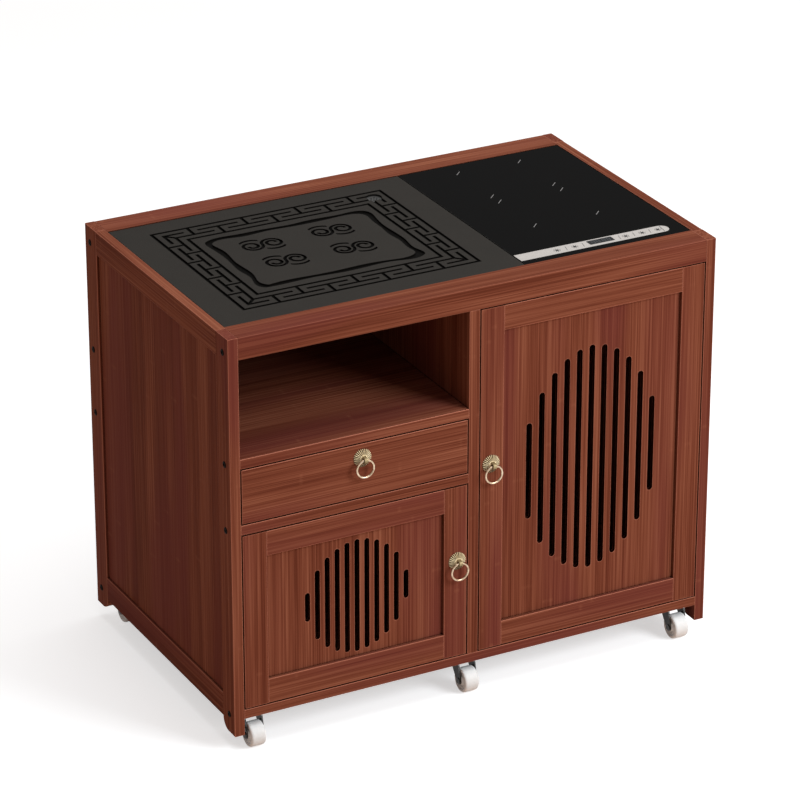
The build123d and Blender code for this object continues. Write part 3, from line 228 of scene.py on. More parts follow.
INSIDE = {
    "Dark": srgb(88, 46, 32), "Middle": srgb(112, 64, 44),
    "Light": srgb(138, 88, 62), "Plum": srgb(96, 50, 40),
}
print("strips", round(NARROW / MM, 1), "and", round(WIDE / MM, 1), "mm wide")


# %% The bamboo group
def bamboo_group():
    """Colour, roughness and height of bamboo whose grain runs along Z."""
    group, t, source, target = new_group("Stained bamboo", "ShaderNodeTree", [
        ("Vector", "NodeSocketVector", None),
        ("Strip", "NodeSocketFloat", WIDE),
        ("Seed", "NodeSocketFloat", 0.0),
        *[(label, "NodeSocketColor", colour) for label, colour in OUTSIDE.items()],
    ], [
        ("Color", "NodeSocketColor"),
        ("Roughness", "NodeSocketFloat"),
        ("Height", "NodeSocketFloat"),
    ])
    seed = source.outputs["Seed"]
    shift = t.vector("MULTIPLY", t.join(seed, seed, seed), (1.713, 3.137, 0.371))
    x, y, z = t.split(t.vector("ADD", source.outputs["Vector"], shift))
    strip = source.outputs["Strip"]
    across_x = t.math("DIVIDE", x, strip)
    across_y = t.math("DIVIDE", y, strip)
    cell = t.join(t.math("FLOOR", across_x), t.math("FLOOR", across_y), seed)
    dice = t.add("ShaderNodeTexWhiteNoise", {"Vector": cell}, noise_dimensions="3D")
    pick = t.split(dice.outputs["Color"])

    def grain(rate, detail):
        wide, long = rate
        return t.noise(t.join(t.times(x, wide), t.times(y, wide), t.times(z, long)), 1.0, detail)

    fibre = grain(FIBRE, 2.0)
    streak = grain(STREAK, 3.0)
    cloud = grain(CLOUDING, 2.0)
    tone = t.times(pick[0], STRIP_SHARE)
    for part, share in ((fibre, FIBRE_SHARE), (streak, STREAK_SHARE), (cloud, CLOUD_SHARE)):
        tone = t.math("MULTIPLY_ADD", part, share, tone)
    color = t.mix(t.remap(tone, *MIDDLE_TONES, smooth=True), source.outputs["Dark"], source.outputs["Middle"])
    color = t.mix(t.remap(tone, *LIGHT_TONES, smooth=True), color, source.outputs["Light"])
    plum = t.remap(grain(STAIN, 1.0), 0.46, 0.70, 0.0, PLUM_SHARE, smooth=True)
    color = t.mix(plum, color, source.outputs["Plum"])

    joint = t.math("FRACT", t.plus(t.math("DIVIDE", z, JOINT_SPACING), pick[1]))
    mark = t.between(joint, 0.5 - JOINT_HALF, 0.5 + JOINT_HALF, JOINT_HALF)
    mark = t.times(mark, t.remap(pick[2], 0.62, 0.66))
    mark = t.times(mark, t.remap(streak, 0.35, 0.6))
    color = t.mix(t.times(mark, JOINT_SHARE), color, source.outputs["Light"])
    glue = t.math("MAXIMUM", *[
        t.remap(t.math("ABSOLUTE", t.minus(t.math("FRACT", across), 0.5)), 0.475, 0.5)
        for across in (across_x, across_y)
    ])
    color = t.mix(t.times(glue, GLUE_SHARE), color, source.outputs["Dark"])
    t.feed(target.inputs["Color"], color)
    t.feed(target.inputs["Roughness"], t.remap(fibre, 0.3, 0.7, 0.34, 0.46))
    height = t.minus(fibre, t.times(glue, 0.5))
    t.feed(target.inputs["Height"], height)
    return group


BAMBOO = bamboo_group()
print("bamboo group with", len(BAMBOO.nodes), "nodes")

# %% [markdown]
# ## Arrises and joints
#
# On a lacquered cabinet two things tell the eye where one board ends: the eased arris, where the stain is
# rubbed thin and a pale line of painted highlight runs, and the joint, where dust and painted shade gather.
# Modelling both would need a bevel on a thousand edges. The group below finds them: the Bevel node bends the
# normal near an edge, so its difference from the true normal marks sharp arrises; on a square board a normal
# that leans away from all three axes marks an eased one; and ambient occlusion over a few millimetres marks
# the joints and corners, where the materials paint shade.

# %% The edge group
ARRIS, REACH = 1.7 * MM, 4.0 * MM       # a board's arris, and how far from a corner shade gathers


def edge_group():
    """Masks of sharp arrises, of joints and corners where shade is painted, and of eased arrises on a square
    board.
    """
    group, t, source, target = new_group("Arrises, dirt and shade", "ShaderNodeTree", [
        ("Arris", "NodeSocketFloat", ARRIS),
        ("Reach", "NodeSocketFloat", REACH),
    ], [
        ("Arris", "NodeSocketFloat"),
        ("Dirt And Shade", "NodeSocketFloat"),
        ("Eased", "NodeSocketFloat"),
    ])
    facing = t.vector("ABSOLUTE", t.add("ShaderNodeTexCoord").outputs["Normal"])
    nx, ny, nz = t.split(facing)
    squarest = t.math("MAXIMUM", nx, t.math("MAXIMUM", ny, nz))
    t.feed(target.inputs["Eased"], t.remap(squarest, 0.985, 0.90, smooth=True))
    bevel = t.add("ShaderNodeBevel", {"Radius": source.outputs["Arris"]}, samples=4)
    true_normal = t.add("ShaderNodeNewGeometry").outputs["Normal"]
    turn = t.vector("DOT_PRODUCT", bevel.outputs[0], true_normal)
    t.feed(target.inputs["Arris"], t.remap(turn, 0.985, 0.86, smooth=True))
    # Ambient occlusion marks where shade is painted, and dirt gathers, in joints and corners
    shade = t.add("ShaderNodeAmbientOcclusion", {"Distance": source.outputs["Reach"]}, samples=6)
    t.feed(target.inputs["Dirt And Shade"], t.remap(shade.outputs["AO"], 0.85, 0.35, smooth=True))
    return group


EDGES = edge_group()


def find_edges(t, arris=ARRIS, reach=REACH):
    """The edge group's masks for a material's own arris and reach."""
    edges = t.add("ShaderNodeGroup", node_tree=EDGES)
    t.feed(edges.inputs["Arris"], arris)
    t.feed(edges.inputs["Reach"], reach)
    return edges.outputs


print("edge group with", len(EDGES.nodes), "nodes")

# %% [markdown]
# ## One wood for each board
#
# Grain runs along a board's length: upright in posts, stiles and panels, crosswise in rails, boards and the
# drawer front, and front to back in the side rails. A Mapping node turns the board's own coordinates so that
# the group always sees its grain along Z. The reflection of pale surroundings veils a dark red wood, so the
# specular level is low, as under a satin lacquer.

# %% Wood materials
GRAIN_TURN = {"X": (0.0, -math.pi / 2, 0.0), "Y": (math.pi / 2, 0.0, 0.0), "Z": (0.0, 0.0, 0.0)}
# Pale colour of the arrises: worn stain and painted highlight
ARRIS_WEAR_AND_HIGHLIGHT = srgb(190, 126, 104)
# Dark of the painted shade and dirt in joints and corners, and of the slot walls' painted shade
DIRT_AND_SHADE_DARK = srgb(30, 6, 2)
DIRT_AND_SHADE_SHARE = 0.95
RUBBED_AND_HIGHLIGHT = 0.8                            # how far the arrises are lightened: stain worn off, and painted highlight
RUBBED_AND_HIGHLIGHT_LESS = {
    "front_top_rail": 0.2, "rear_top_rail": 0.2,
    "left_side_rails": 0.55, "right_side_rails": 0.55,
}
LACQUER_SHINE = 0.004


def slot_wall_shade(t, node, place):
    """1 on the walls of a door panel's slots, which lie in shade between its two faces and get painted shade.
    """
    low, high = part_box(node)
    return t.between(t.split(place)[1], low.y + 0.5 * MM, high.y - 0.3 * MM, 0.2 * MM)


def wood(node, grain, strip, seed, colours=OUTSIDE):
    """Stained bamboo for one board, with its own direction of grain, strip width and seed."""
    material, t, shader = new_material("bamboo_" + node)
    place = t.object_place()
    turned_place = t.add("ShaderNodeMapping", {"Vector": place, "Rotation": GRAIN_TURN[grain]}).outputs[0]
    group = t.add("ShaderNodeGroup", node_tree=BAMBOO)
    values = {"Vector": turned_place, "Strip": strip, "Seed": seed, **colours}
    for socket, value in values.items():
        t.feed(group.inputs[socket], value)
    edges = find_edges(t)
    # The arrises' pale line: stain worn thin, and painted highlight
    rubbed_and_highlight = t.times(t.math("MAXIMUM", edges["Arris"], edges["Eased"]), RUBBED_AND_HIGHLIGHT_LESS.get(node, RUBBED_AND_HIGHLIGHT))
    color = t.mix(rubbed_and_highlight, group.outputs["Color"], ARRIS_WEAR_AND_HIGHLIGHT)
    # Painted shade, with some dirt, in the joints and corners that ambient occlusion finds
    color = t.mix(t.times(edges["Dirt And Shade"], DIRT_AND_SHADE_SHARE), color, DIRT_AND_SHADE_DARK)
    if node.endswith("_door_panel"):
        # Painted shade: the slot walls are darkened
        color = t.mix(slot_wall_shade(t, node, place), color, DIRT_AND_SHADE_DARK)
    wire_shader(t, shader, color, group.outputs["Roughness"], specular=LACQUER_SHINE)
    wire_relief(t, shader, group.outputs["Height"], 0.25, 0.3 * MM)
    return material


print("wood can be turned to run along", ", ".join(GRAIN_TURN))

# %% Every board's grain and strips
BOARDS = {
    "left_front_post": ("Z", NARROW), "left_rear_post": ("Z", NARROW),
    "right_front_post": ("Z", NARROW), "right_rear_post": ("Z", NARROW),
    "left_side_rails": ("Y", WIDE), "right_side_rails": ("Y", WIDE),
    "left_side_panel": ("Z", WIDE), "right_side_panel": ("Z", WIDE),
    "front_top_rail": ("X", WIDE), "rear_top_rail": ("X", WIDE), "top_cross_bearer": ("Y", WIDE),
    "centre_divider": ("Z", NARROW), "shelf_board": ("X", WIDE), "mid_board": ("X", WIDE),
    "bottom_board": ("X", WIDE),
    "left_door_stiles": ("Z", NARROW), "left_door_rails": ("X", NARROW), "left_door_panel": ("Z", WIDE),
    "right_door_stiles": ("Z", NARROW), "right_door_rails": ("X", NARROW), "right_door_panel": ("Z", WIDE),
    "drawer_front": ("X", WIDE),
}
INNER_BOARDS = {
    "back_panel": ("Z", WIDE), "niche_ceiling": ("X", WIDE),
    "drawer_box_walls": ("Y", WIDE), "drawer_bottom": ("Y", WIDE),
}
FIRST_SEED, FIRST_INNER_SEED = 1.0, 40.0
for number, (node, (grain, strip)) in enumerate(BOARDS.items()):
    dress(node, wood(node, grain, strip, FIRST_SEED + number))
for number, (node, (grain, strip)) in enumerate(INNER_BOARDS.items()):
    dress(node, wood(node, grain, strip, FIRST_INNER_SEED + number, INSIDE))
print("boards finished:", len(BOARDS) + len(INNER_BOARDS))

# %% [markdown]
# ## The stone tray
#
# The tray is a slab of fine dark stone. Its face is honed, so it is grey, while the carving keeps the black
# of the stain that is rolled over it and wiped off the face. The carving is real geometry here, so the
# material only has to ask how deep a point lies: inside the slab's border, whatever lies below the face is
# carved and black, and the stain laps a little over the carving's lips, which the arris mask finds. Noise
# gives the crystals, and a sparse Voronoi gives the few light grains.

# %% Stone
STONE_BORDER = 12.0 * MM                # the plain margin round the carving
STONE_ARRIS = 1.6 * MM
STONE_SHINE = 0.015


def stone():
    """Honed grey on the face, black in the carving, crystals and a few light grains."""
    material, t, shader = new_material("honed_stone")
    low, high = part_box("stone_tray")
    place = t.object_place()
    x, y, z = t.split(place)
    crystals = t.noise(place, 1500.0, 3.0, 0.65)
    patches = t.noise(place, 22.0, 3.0)
    grains = t.add("ShaderNodeTexVoronoi", {"Vector": place, "Scale": 620.0})
    light_grain = t.remap(grains.outputs["Distance"], 0.16, 0.1)
    light_grain = t.times(light_grain, t.remap(t.split(grains.outputs["Color"])[0], 0.8, 0.9))
    face = t.mix(t.remap(crystals, 0.35, 0.68), srgb(38, 37, 35), srgb(62, 60, 57))
    face = t.mix(t.remap(patches, 0.35, 0.7, 0.0, 0.35), face, srgb(46, 45, 43))
    face = t.mix(t.times(light_grain, 0.5), face, srgb(100, 99, 96))
    inside = t.times(
        t.between(x, low.x + STONE_BORDER, high.x - STONE_BORDER, MM),
        t.between(y, low.y + STONE_BORDER, high.y - STONE_BORDER, MM),
    )
    depth = t.remap(z, high.z - 0.6 * MM, high.z - 0.1 * MM, 1.0, 0.0)
    arris = find_edges(t, STONE_ARRIS)["Arris"]
    carved = t.times(inside, t.math("MAXIMUM", depth, t.remap(arris, 0.1, 0.5)))
    worn = t.times(arris, t.minus(1.0, inside))
    color = t.mix(t.times(worn, 0.35), face, srgb(104, 104, 104))
    color = t.mix(carved, color, srgb(12, 11, 10))
    wire_shader(t, shader, color, t.remap(crystals, 0.3, 0.7, 0.5, 0.66), specular=STONE_SHINE)
    wire_relief(t, shader, crystals, 0.18)
    return material


dress("stone_tray", stone())
print("stone tray finished, border", round(STONE_BORDER / MM), "mm")

# %% [markdown]
# ## The glass cooktop
#
# Cooktop glass is clear glass ceramic, printed black underneath. From outside it is simply very black with a
# tight gloss, so an opaque shader is the honest choice. Its ground edge catches light, which the arris mask
# draws as a painted highlight. Fine wiping marks in the roughness keep the gloss from looking like a
# computer's.

# %% Glass
WIPED = (14.0, 60.0)                    # cycles per metre along and across the wiping marks
GLASS_ARRIS = 0.6 * MM
GLASS_SHINE = 0.006


def black_glass():
    """Very black and glossy, with wiping marks and a painted highlight on its ground edge."""
    material, t, shader = new_material("black_glass")
    x, y, z = t.split(t.object_place())
    along, across = WIPED
    smear = t.noise(t.join(t.times(x, along), t.times(y, across), z), 1.0, 4.0)
    # Painted highlight along the ground edge
    ground_edge_highlight = t.times(find_edges(t, GLASS_ARRIS)["Arris"], 0.8)
    color = t.mix(ground_edge_highlight, srgb(13, 13, 13), srgb(84, 84, 84))
    wire_shader(t, shader, color, t.remap(smear, 0.3, 0.75, 0.07, 0.16), specular=GLASS_SHINE)
    return material


dress("cooktop_glass", black_glass())
print("cooktop glass finished")

# %% [markdown]
# ## Metals and plastics
#
# The fittings share one recipe: a base colour broken up by two noises, a roughness that follows them, and
# arrises rubbed a little brighter. One function writes that recipe, and each finish only brings its numbers:
# antique brass, chrome, zinc-plated steel, black oxide, nylon. A finish with a pattern of its own, such as
# the spangle of galvanised sheet, the windings of a coil or the tracks of a circuit board, gets a function
# of its own.

# %% Shared recipe for small fittings
FITTING_ARRIS, FORK_ARRIS = 0.5 * MM, 0.8 * MM
# Dark of the painted shade in fittings' corners, which also stands for grime
GRIME_AND_SHADE = srgb(16, 13, 11)


def fitting(name, dark, light, rub, metal, rough, gloss=0.5, scale=260.0, bump=0.08, shade=0.45,
            reach=5.0 * MM):
    """A mottled metal or plastic; rub is the colour of its arrises, rough its two roughness ends.

    Corners within reach of another surface darken by the share shade: painted shade, with some grime.
    """
    material, t, shader = new_material(name)
    place = t.object_place()
    fine = t.noise(place, scale * 5, 2.0)
    broad = t.noise(place, scale, 3.0)
    edges = find_edges(t, FITTING_ARRIS, reach)
    color = t.mix(t.remap(broad, 0.35, 0.65), dark, light)
    color = t.mix(t.times(edges["Arris"], 0.5), color, rub)
    # Painted shade, with some grime, in corners near another surface
    color = t.mix(t.times(edges["Dirt And Shade"], shade), color, GRIME_AND_SHADE)
    wire_shader(t, shader, color, t.remap(fine, 0.3, 0.7, *rough), metal, gloss)
    wire_relief(t, shader, fine, bump)
    return material


print("fittings have arrises", round(FITTING_ARRIS / MM, 1), "mm wide")


# %% Chrome of the caster forks
def caster_chrome():
    """Chrome that is bright on the crown, with a painted dark reflection on the legs beside the wheel."""
    material = fitting("chrome", srgb(168, 169, 171), srgb(204, 204, 205), srgb(236, 236, 236),
                       1.0, (0.14, 0.26), shade=0.92, reach=12.0 * MM)
    t = Tree(material.node_tree)
    base = t.nodes["Principled BSDF"].inputs["Base Color"]
    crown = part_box("front_left_caster_fork")[1].z - 3.0 * MM
    # Painted dark reflection: the legs below the crown are darkened towards near-black
    dark_leg_reflection = t.remap(t.split(t.object_place())[2], crown - MM, crown, 0.88, 0.0)
    color = t.mix(dark_leg_reflection, base.links[0].from_socket, srgb(30, 27, 25))
    arris = find_edges(t, FORK_ARRIS)["Arris"]
    t.feed(base, t.mix(t.times(arris, 0.6), color, srgb(206, 204, 200)))
    return material


CHROME = caster_chrome()
print("chrome ready")

# %% The other finishes
ZINC = fitting("zinc_plate", srgb(150, 153, 158), srgb(180, 182, 184), srgb(214, 214, 214),
               1.0, (0.28, 0.42), shade=0.7)
DARK_STEEL = fitting("strainer_steel", srgb(58, 58, 58), srgb(84, 84, 83), srgb(120, 120, 118),
                     0.6, (0.4, 0.55))
BLACK_OXIDE = fitting("black_oxide", srgb(14, 11, 10), srgb(26, 22, 20), srgb(52, 44, 40),
                      0.0, (0.4, 0.5), 0.02)
BRASS = fitting("ring_brass", srgb(188, 158, 128), srgb(230, 206, 178), srgb(246, 232, 212),
                1.0, (0.2, 0.32))
EYE_BRASS = fitting("eye_brass", srgb(134, 118, 82), srgb(170, 154, 114), srgb(214, 198, 160),
                    0.4, (0.42, 0.56), shade=0.6)
NYLON = fitting("wheel_nylon", srgb(230, 238, 241), srgb(237, 243, 246), srgb(243, 246, 248),
                0.0, (0.4, 0.52), 0.3, shade=0.3, reach=1.2 * MM)
PALE_PLASTIC = fitting("drain_plastic", srgb(188, 188, 184), srgb(206, 206, 202), srgb(222, 222, 220),
                       0.0, (0.42, 0.55), 0.3)
MAGNET_CASE = fitting("magnet_case", srgb(96, 82, 68), srgb(116, 100, 84), srgb(140, 124, 106),
                      0.0, (0.45, 0.6), 0.3)
BLACK_PLASTIC = fitting("black_plastic", srgb(20, 20, 21), srgb(32, 32, 33), srgb(60, 60, 61),
                        0.0, (0.42, 0.58), 0.3, bump=0.2)
FINISHES = {
    CHROME: [name for name in NODES if name.endswith("_caster_fork")],
    ZINC: ["caster_plates", "door_pivot_pins", "drawer_outer_runners", "drawer_inner_runners"],
    DARK_STEEL: ["tray_strainer"],
    MAGNET_CASE: ["door_magnets"],
    PALE_PLASTIC: ["drain_spigot"],
    BLACK_PLASTIC: ["fan_frame", "fan_rotor", "power_inlet"],
}
for material, nodes in FINISHES.items():
    for node in nodes:
        dress(node, material)
print("fittings finished:", sum(len(nodes) for nodes in FINISHES.values()))


# %% Galvanised sheet
def galvanised():
    """Zinc spangle: flat crystals, each with its own brightness."""
    material, t, shader = new_material("galvanised_sheet")
    place = t.object_place()
    sway = t.vector("MULTIPLY", t.join(t.noise(place, 60.0), 0.0, 0.0), (0.01, 0.0, 0.0))
    crystals = t.add("ShaderNodeTexVoronoi", {"Vector": t.vector("ADD", place, sway), "Scale": 85.0})
    tone = t.split(crystals.outputs["Color"])[0]
    color = t.mix(tone, srgb(140, 144, 148), srgb(186, 188, 190))
    wire_shader(t, shader, color, t.remap(tone, 0.0, 1.0, 0.32, 0.5), 1.0)
    return material


dress("cooktop_housing", galvanised())
print("housing galvanised")

# %% Copper windings
WIRE_PITCH = 2.2 * MM                   # from one turn of a coil to the next


def copper_windings():
    """Turns of enamelled wire round each of the two coils' centres."""
    material, t, shader = new_material("copper_windings")
    low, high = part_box("induction_coils")
    radius = (high.x - low.x) / 2
    apart = (high.y - low.y) / 2 - radius
    x, y, z = t.split(t.object_place())
    from_x = t.minus(x, (low.x + high.x) / 2)
    from_y = t.minus(t.math("ABSOLUTE", t.minus(y, (low.y + high.y) / 2)), apart)
    out = t.vector("LENGTH", t.join(from_x, from_y, 0.0))
    turn = t.math("SINE", t.times(out, 2 * math.pi / WIRE_PITCH))
    mottle = t.noise(t.join(x, y, z), 300.0)
    color = t.mix(t.remap(turn, -0.9, 0.6), srgb(96, 46, 24), srgb(190, 112, 66))
    color = t.mix(t.remap(mottle, 0.4, 0.7, 0.0, 0.4), color, srgb(150, 80, 44))
    wire_shader(t, shader, color, t.remap(mottle, 0.3, 0.7, 0.3, 0.45), 0.9)
    wire_relief(t, shader, turn, 0.8, 0.5 * MM)
    return material


dress("induction_coils", copper_windings())
print("turns", round(WIRE_PITCH / MM, 1), "mm apart")

# %% The circuit board
BOARD_THICKNESS = 1.7 * MM


def circuit_board():
    """Green lacquer over straight tracks; what stands above the board is bare aluminium."""
    material, t, shader = new_material("circuit_board")
    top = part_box("cooktop_control_board")[0].z + BOARD_THICKNESS
    place = t.object_place()
    tracks = t.add("ShaderNodeTexBrick", {
        "Vector": place, "Scale": 120.0, "Mortar Size": 0.06, "Color1": srgb(16, 62, 36),
        "Color2": srgb(20, 74, 42), "Mortar": srgb(70, 130, 74),
    })
    mottle = t.noise(place, 500.0)
    above = t.remap(t.split(place)[2], top, top + 0.3 * MM)
    aluminium = t.mix(t.remap(mottle, 0.35, 0.7), srgb(150, 152, 154), srgb(184, 185, 186))
    color = t.mix(above, tracks.outputs["Color"], aluminium)
    wire_shader(t, shader, color, t.remap(mottle, 0.3, 0.7, 0.3, 0.5), above)
    return material


dress("cooktop_control_board", circuit_board())
print("board", round(BOARD_THICKNESS / MM, 1), "mm thick")

# %% [markdown]
# ## Helpers for shapes
#
# Most fittings are turned parts: an outline spun round an axis. `turned` spins a closed outline of (along,
# radius) points. A radius may also be a rule of the angle, which turns the same helper into a maker of
# hexagon sockets, cross recesses and flattened noses. `grown` runs a Geometry Nodes tree once and keeps its
# result as a plain mesh, because the finished model carries no live modifiers.

# %% Finished and turned pieces
SHARP = 35.0                            # edges with a steeper turn, in degrees, stay sharp


def smooth(mesh, degrees=SHARP):
    """Shades a mesh smooth except along its sharp edges."""
    mesh.shade_smooth()
    mesh.set_sharp_from_angle(angle=math.radians(degrees))


def finish_piece(name, shape, material, degrees=SHARP):
    """Turns a bmesh into a linked object with outward faces and one material."""
    bmesh.ops.remove_doubles(shape, verts=shape.verts, dist=1e-6)
    bmesh.ops.recalc_face_normals(shape, faces=shape.faces)
    mesh = bpy.data.meshes.new(name)
    shape.to_mesh(mesh)
    shape.free()
    smooth(mesh, degrees)
    if material:
        mesh.materials.append(material)
    piece = bpy.data.objects.new(name, mesh)
    bpy.context.scene.collection.objects.link(piece)
    return piece


def spin(shape, outline, steps, axis, centre):
    """Adds an outline of (along, radius) points, spun round an axis, to a bmesh."""
    along, first, second = {              # directions of along, of angle 0 and of angle 90
        "X": (Vector((1, 0, 0)), Vector((0, -1, 0)), Vector((0, 0, 1))),
        "Y": (Vector((0, -1, 0)), Vector((1, 0, 0)), Vector((0, 0, 1))),
        "Z": (Vector((0, 0, 1)), Vector((1, 0, 0)), Vector((0, 1, 0))),
    }[axis]
    rings = []
    for step in range(steps):
        angle = 2 * math.pi * step / steps
        ring = []
        for distance, radius in outline:
            reach = radius(angle) if callable(radius) else radius
            out = first * (reach * math.cos(angle)) + second * (reach * math.sin(angle))
            ring.append(shape.verts.new(centre + along * distance + out))
        rings.append(ring)
    count = len(outline)
    for step in range(steps):
        here, there = rings[step], rings[(step + 1) % steps]
        for k in range(count):
            after = (k + 1) % count
            if outline[k][1] != 0.0 or outline[after][1] != 0.0:
                shape.faces.new((here[k], here[after], there[after], there[k]))


def turned(name, outline, steps, axis, centre, material, degrees=SHARP):
    """A turned part as an object of its own."""
    shape = bmesh.new()
    spin(shape, outline, steps, axis, Vector(centre))
    return finish_piece(name, shape, material, degrees)


print("edges over", SHARP, "degrees stay sharp")


# %% Pieces grown by Geometry Nodes
def grown(name, group, settings, mesh=None):
    """Runs a Geometry Nodes group with the given inputs and keeps a plain mesh."""
    holder = bpy.data.objects.new(name + "_holder", mesh or bpy.data.meshes.new(name + "_points"))
    bpy.context.scene.collection.objects.link(holder)
    modifier = holder.modifiers.new("Grow", "NODES")
    modifier.node_group = group
    for item in group.interface.items_tree:
        if item.in_out == "INPUT" and item.name in settings:
            modifier[item.identifier] = settings[item.name]
    graph = bpy.context.evaluated_depsgraph_get()
    result = bpy.data.meshes.new_from_object(holder.evaluated_get(graph), depsgraph=graph)
    holder.modifiers.remove(modifier)
    bpy.data.objects.remove(holder)
    result.name = name
    smooth(result)
    piece = bpy.data.objects.new(name, result)
    bpy.context.scene.collection.objects.link(piece)
    return piece


def end_tree(t, target, geometry, material):
    """Ends a Geometry Nodes tree: instances become real faces and get their material."""
    real = t.add("GeometryNodeRealizeInstances", {"Geometry": geometry})
    dressed = t.add("GeometryNodeSetMaterial", {"Geometry": real.outputs[0], "Material": material})
    t.feed(target.inputs[0], dressed.outputs[0])


print("grown pieces come out as plain meshes")

# %% [markdown]
# ## Fluted rosettes
#
# Behind each ring sits a cast brass plate like an open chrysanthemum: a low dome with radial flutes that end
# in a scalloped rim. Modelling twenty-eight petals by hand is slow and uneven. The shape follows a rule, so a
# Geometry Nodes tree makes it: a flat grid is bent into polar form, where one side of the grid becomes the
# angle and the other first runs from the centre to the rim and then back to the centre underneath, which
# closes the solid. The flutes are a cosine of the angle that fades towards the centre. The tree also stores
# how high each point lies on its flute, and the brass is darker in the valleys by that attribute.

# %% The rosette tree
ROSETTE_SHAPE = {
    "Flutes": 28, "Scallop": 0.8 * MM, "Flute Depth": 1.2 * MM, "Dome": 4.4 * MM, "Rim": 1.6 * MM,
}
ROSETTE_GRID = {"Size X": 1.0, "Size Y": 1.0, "Vertices X": 321, "Vertices Y": 27}


def rosette_group():
    """Bends a flat grid into a fluted dome with a closed back."""
    group, t, source, target = new_group("Fluted rosette", "GeometryNodeTree", [
        ("Geometry", "NodeSocketGeometry", None),
        ("Radius", "NodeSocketFloat", 14.5 * MM),
        *size_sockets(ROSETTE_SHAPE),
        ("Centre", "NodeSocketVector", None),
        ("Brass", "NodeSocketMaterial", None),
    ], [("Geometry", "NodeSocketGeometry")])
    grid = t.add("GeometryNodeMeshGrid", ROSETTE_GRID)
    u, v, _ = t.split(t.add("GeometryNodeInputPosition").outputs[0])
    angle = t.times(t.plus(u, 0.5), 2 * math.pi)
    run = t.times(t.plus(v, 0.5), 2.0)
    share = t.math("MINIMUM", run, t.minus(2.0, run))
    top = t.remap(run, 1.0, 1.04, 1.0, 0.0)
    wave = t.math("COSINE", t.times(angle, source.outputs["Flutes"]))
    fade = t.remap(share, 0.3, 0.62, smooth=True)
    scallop = t.times(t.times(wave, source.outputs["Scallop"]), t.remap(share, 0.7, 1.0))
    full = t.minus(source.outputs["Radius"], source.outputs["Scallop"])
    radius = t.math("MULTIPLY_ADD", share, full, scallop)
    dome = t.times(source.outputs["Dome"], t.minus(1.0, t.math("POWER", share, 2.0)))
    groove = t.times(t.minus(wave, 1.0), 0.5)
    groove = t.times(t.times(groove, source.outputs["Flute Depth"]), fade)
    crown = t.plus(t.plus(source.outputs["Rim"], dome), groove)
    eased = t.remap(share, 0.9, 1.0, 1.0, 0.45, smooth=True)
    height = t.times(t.times(crown, eased), top)
    across, up = t.times(radius, t.math("COSINE", angle)), t.times(radius, t.math("SINE", angle))
    place = t.join(across, t.times(height, -1.0), up)
    ridge = t.times(t.math("MULTIPLY_ADD", wave, 0.5, 0.5), top)
    ridge = t.math("MAXIMUM", ridge, t.minus(1.0, fade))
    stored = t.add("GeometryNodeStoreNamedAttribute", {
        "Geometry": grid.outputs["Mesh"], "Name": "ridge", "Value": ridge,
    }, data_type="FLOAT", domain="POINT")
    bent = t.add("GeometryNodeSetPosition", {
        "Geometry": stored.outputs[0], "Position": t.vector("ADD", place, source.outputs["Centre"]),
    })
    merged = t.add("GeometryNodeMergeByDistance", {"Geometry": bent.outputs[0], "Distance": 0.002 * MM})
    end_tree(t, target, merged.outputs[0], source.outputs["Brass"])
    return group


ROSETTE = rosette_group()
print("rosette tree with", len(ROSETTE.nodes), "nodes")


# %% Its brass
def fluted_brass():
    """Antique brass with patina in the valleys between its flutes, and painted shade on the side that looks
    down.
    """
    material, t, shader = new_material("fluted_brass")
    ridge = t.add("ShaderNodeAttribute", attribute_name="ridge").outputs["Fac"]
    place = t.add("ShaderNodeTexCoord").outputs
    mottle = t.noise(place["Object"], 900.0, 3.0)
    color = t.mix(t.remap(ridge, 0.3, 0.7, smooth=True), srgb(26, 17, 8), srgb(246, 228, 186))
    color = t.mix(t.remap(mottle, 0.4, 0.7, 0.0, 0.2), color, srgb(132, 114, 76))
    # Painted shade: faces that look down are darkened
    shaded_underside = t.remap(t.split(place["Normal"])[2], 0.05, -0.3, 0.0, 0.6, smooth=True)
    color = t.mix(shaded_underside, color, srgb(40, 28, 14))
    wire_shader(t, shader, color, t.remap(ridge, 0.0, 1.0, 0.62, 0.45), 0.25, 0.2)
    wire_relief(t, shader, mottle, 0.15)
    return material


FLUTED_BRASS = fluted_brass()
print("brass with", len(FLUTED_BRASS.node_tree.nodes), "nodes")

# %% [markdown]
# ## Eyes and rings
#
# The ring swings in an eye that stands out of the rosette like a small nose. The eye is a turned part whose
# outer radius is a rule: round in front, and widening behind into a straight neck that reaches down to the
# plate. The ring itself is drawn wire bent to a circle. Both are spun with the same helper, the ring round
# the Y axis and the eye round the X axis of its own hole.

# %% Outlines of the eye and the ring
EYE_HOLE, EYE_NOSE, EYE_HALF_WIDTH = 2.5 * MM, 4.4 * MM, 3.0 * MM
EYE_FOOT = 1.0 * MM                     # from the door to the end of the neck, inside the plate
EYE_SOFT, HOLE_SOFT = 0.5 * MM, 0.3 * MM
NECK_FLARE = 0.16
EYE_STEPS, RING_STEPS, WIRE_STEPS = 72, 96, 20


def eye_outline(stand):
    """Outline of the eye; stand is how far its hole lies in front of the door."""
    neck = stand - EYE_FOOT

    def nose(angle):
        back = -math.cos(angle)
        if back <= 0:
            return EYE_NOSE
        side = max(abs(math.sin(angle)) - NECK_FLARE * back, 0.05)
        return min(EYE_NOSE / side, neck / back)

    def eased(angle):
        return nose(angle) - EYE_SOFT

    half = EYE_HALF_WIDTH
    right = [
        (half - HOLE_SOFT, EYE_HOLE), (half, EYE_HOLE + HOLE_SOFT), (half, eased), (half - EYE_SOFT, nose),
    ]
    return right + [(-along, radius) for along, radius in reversed(right)]


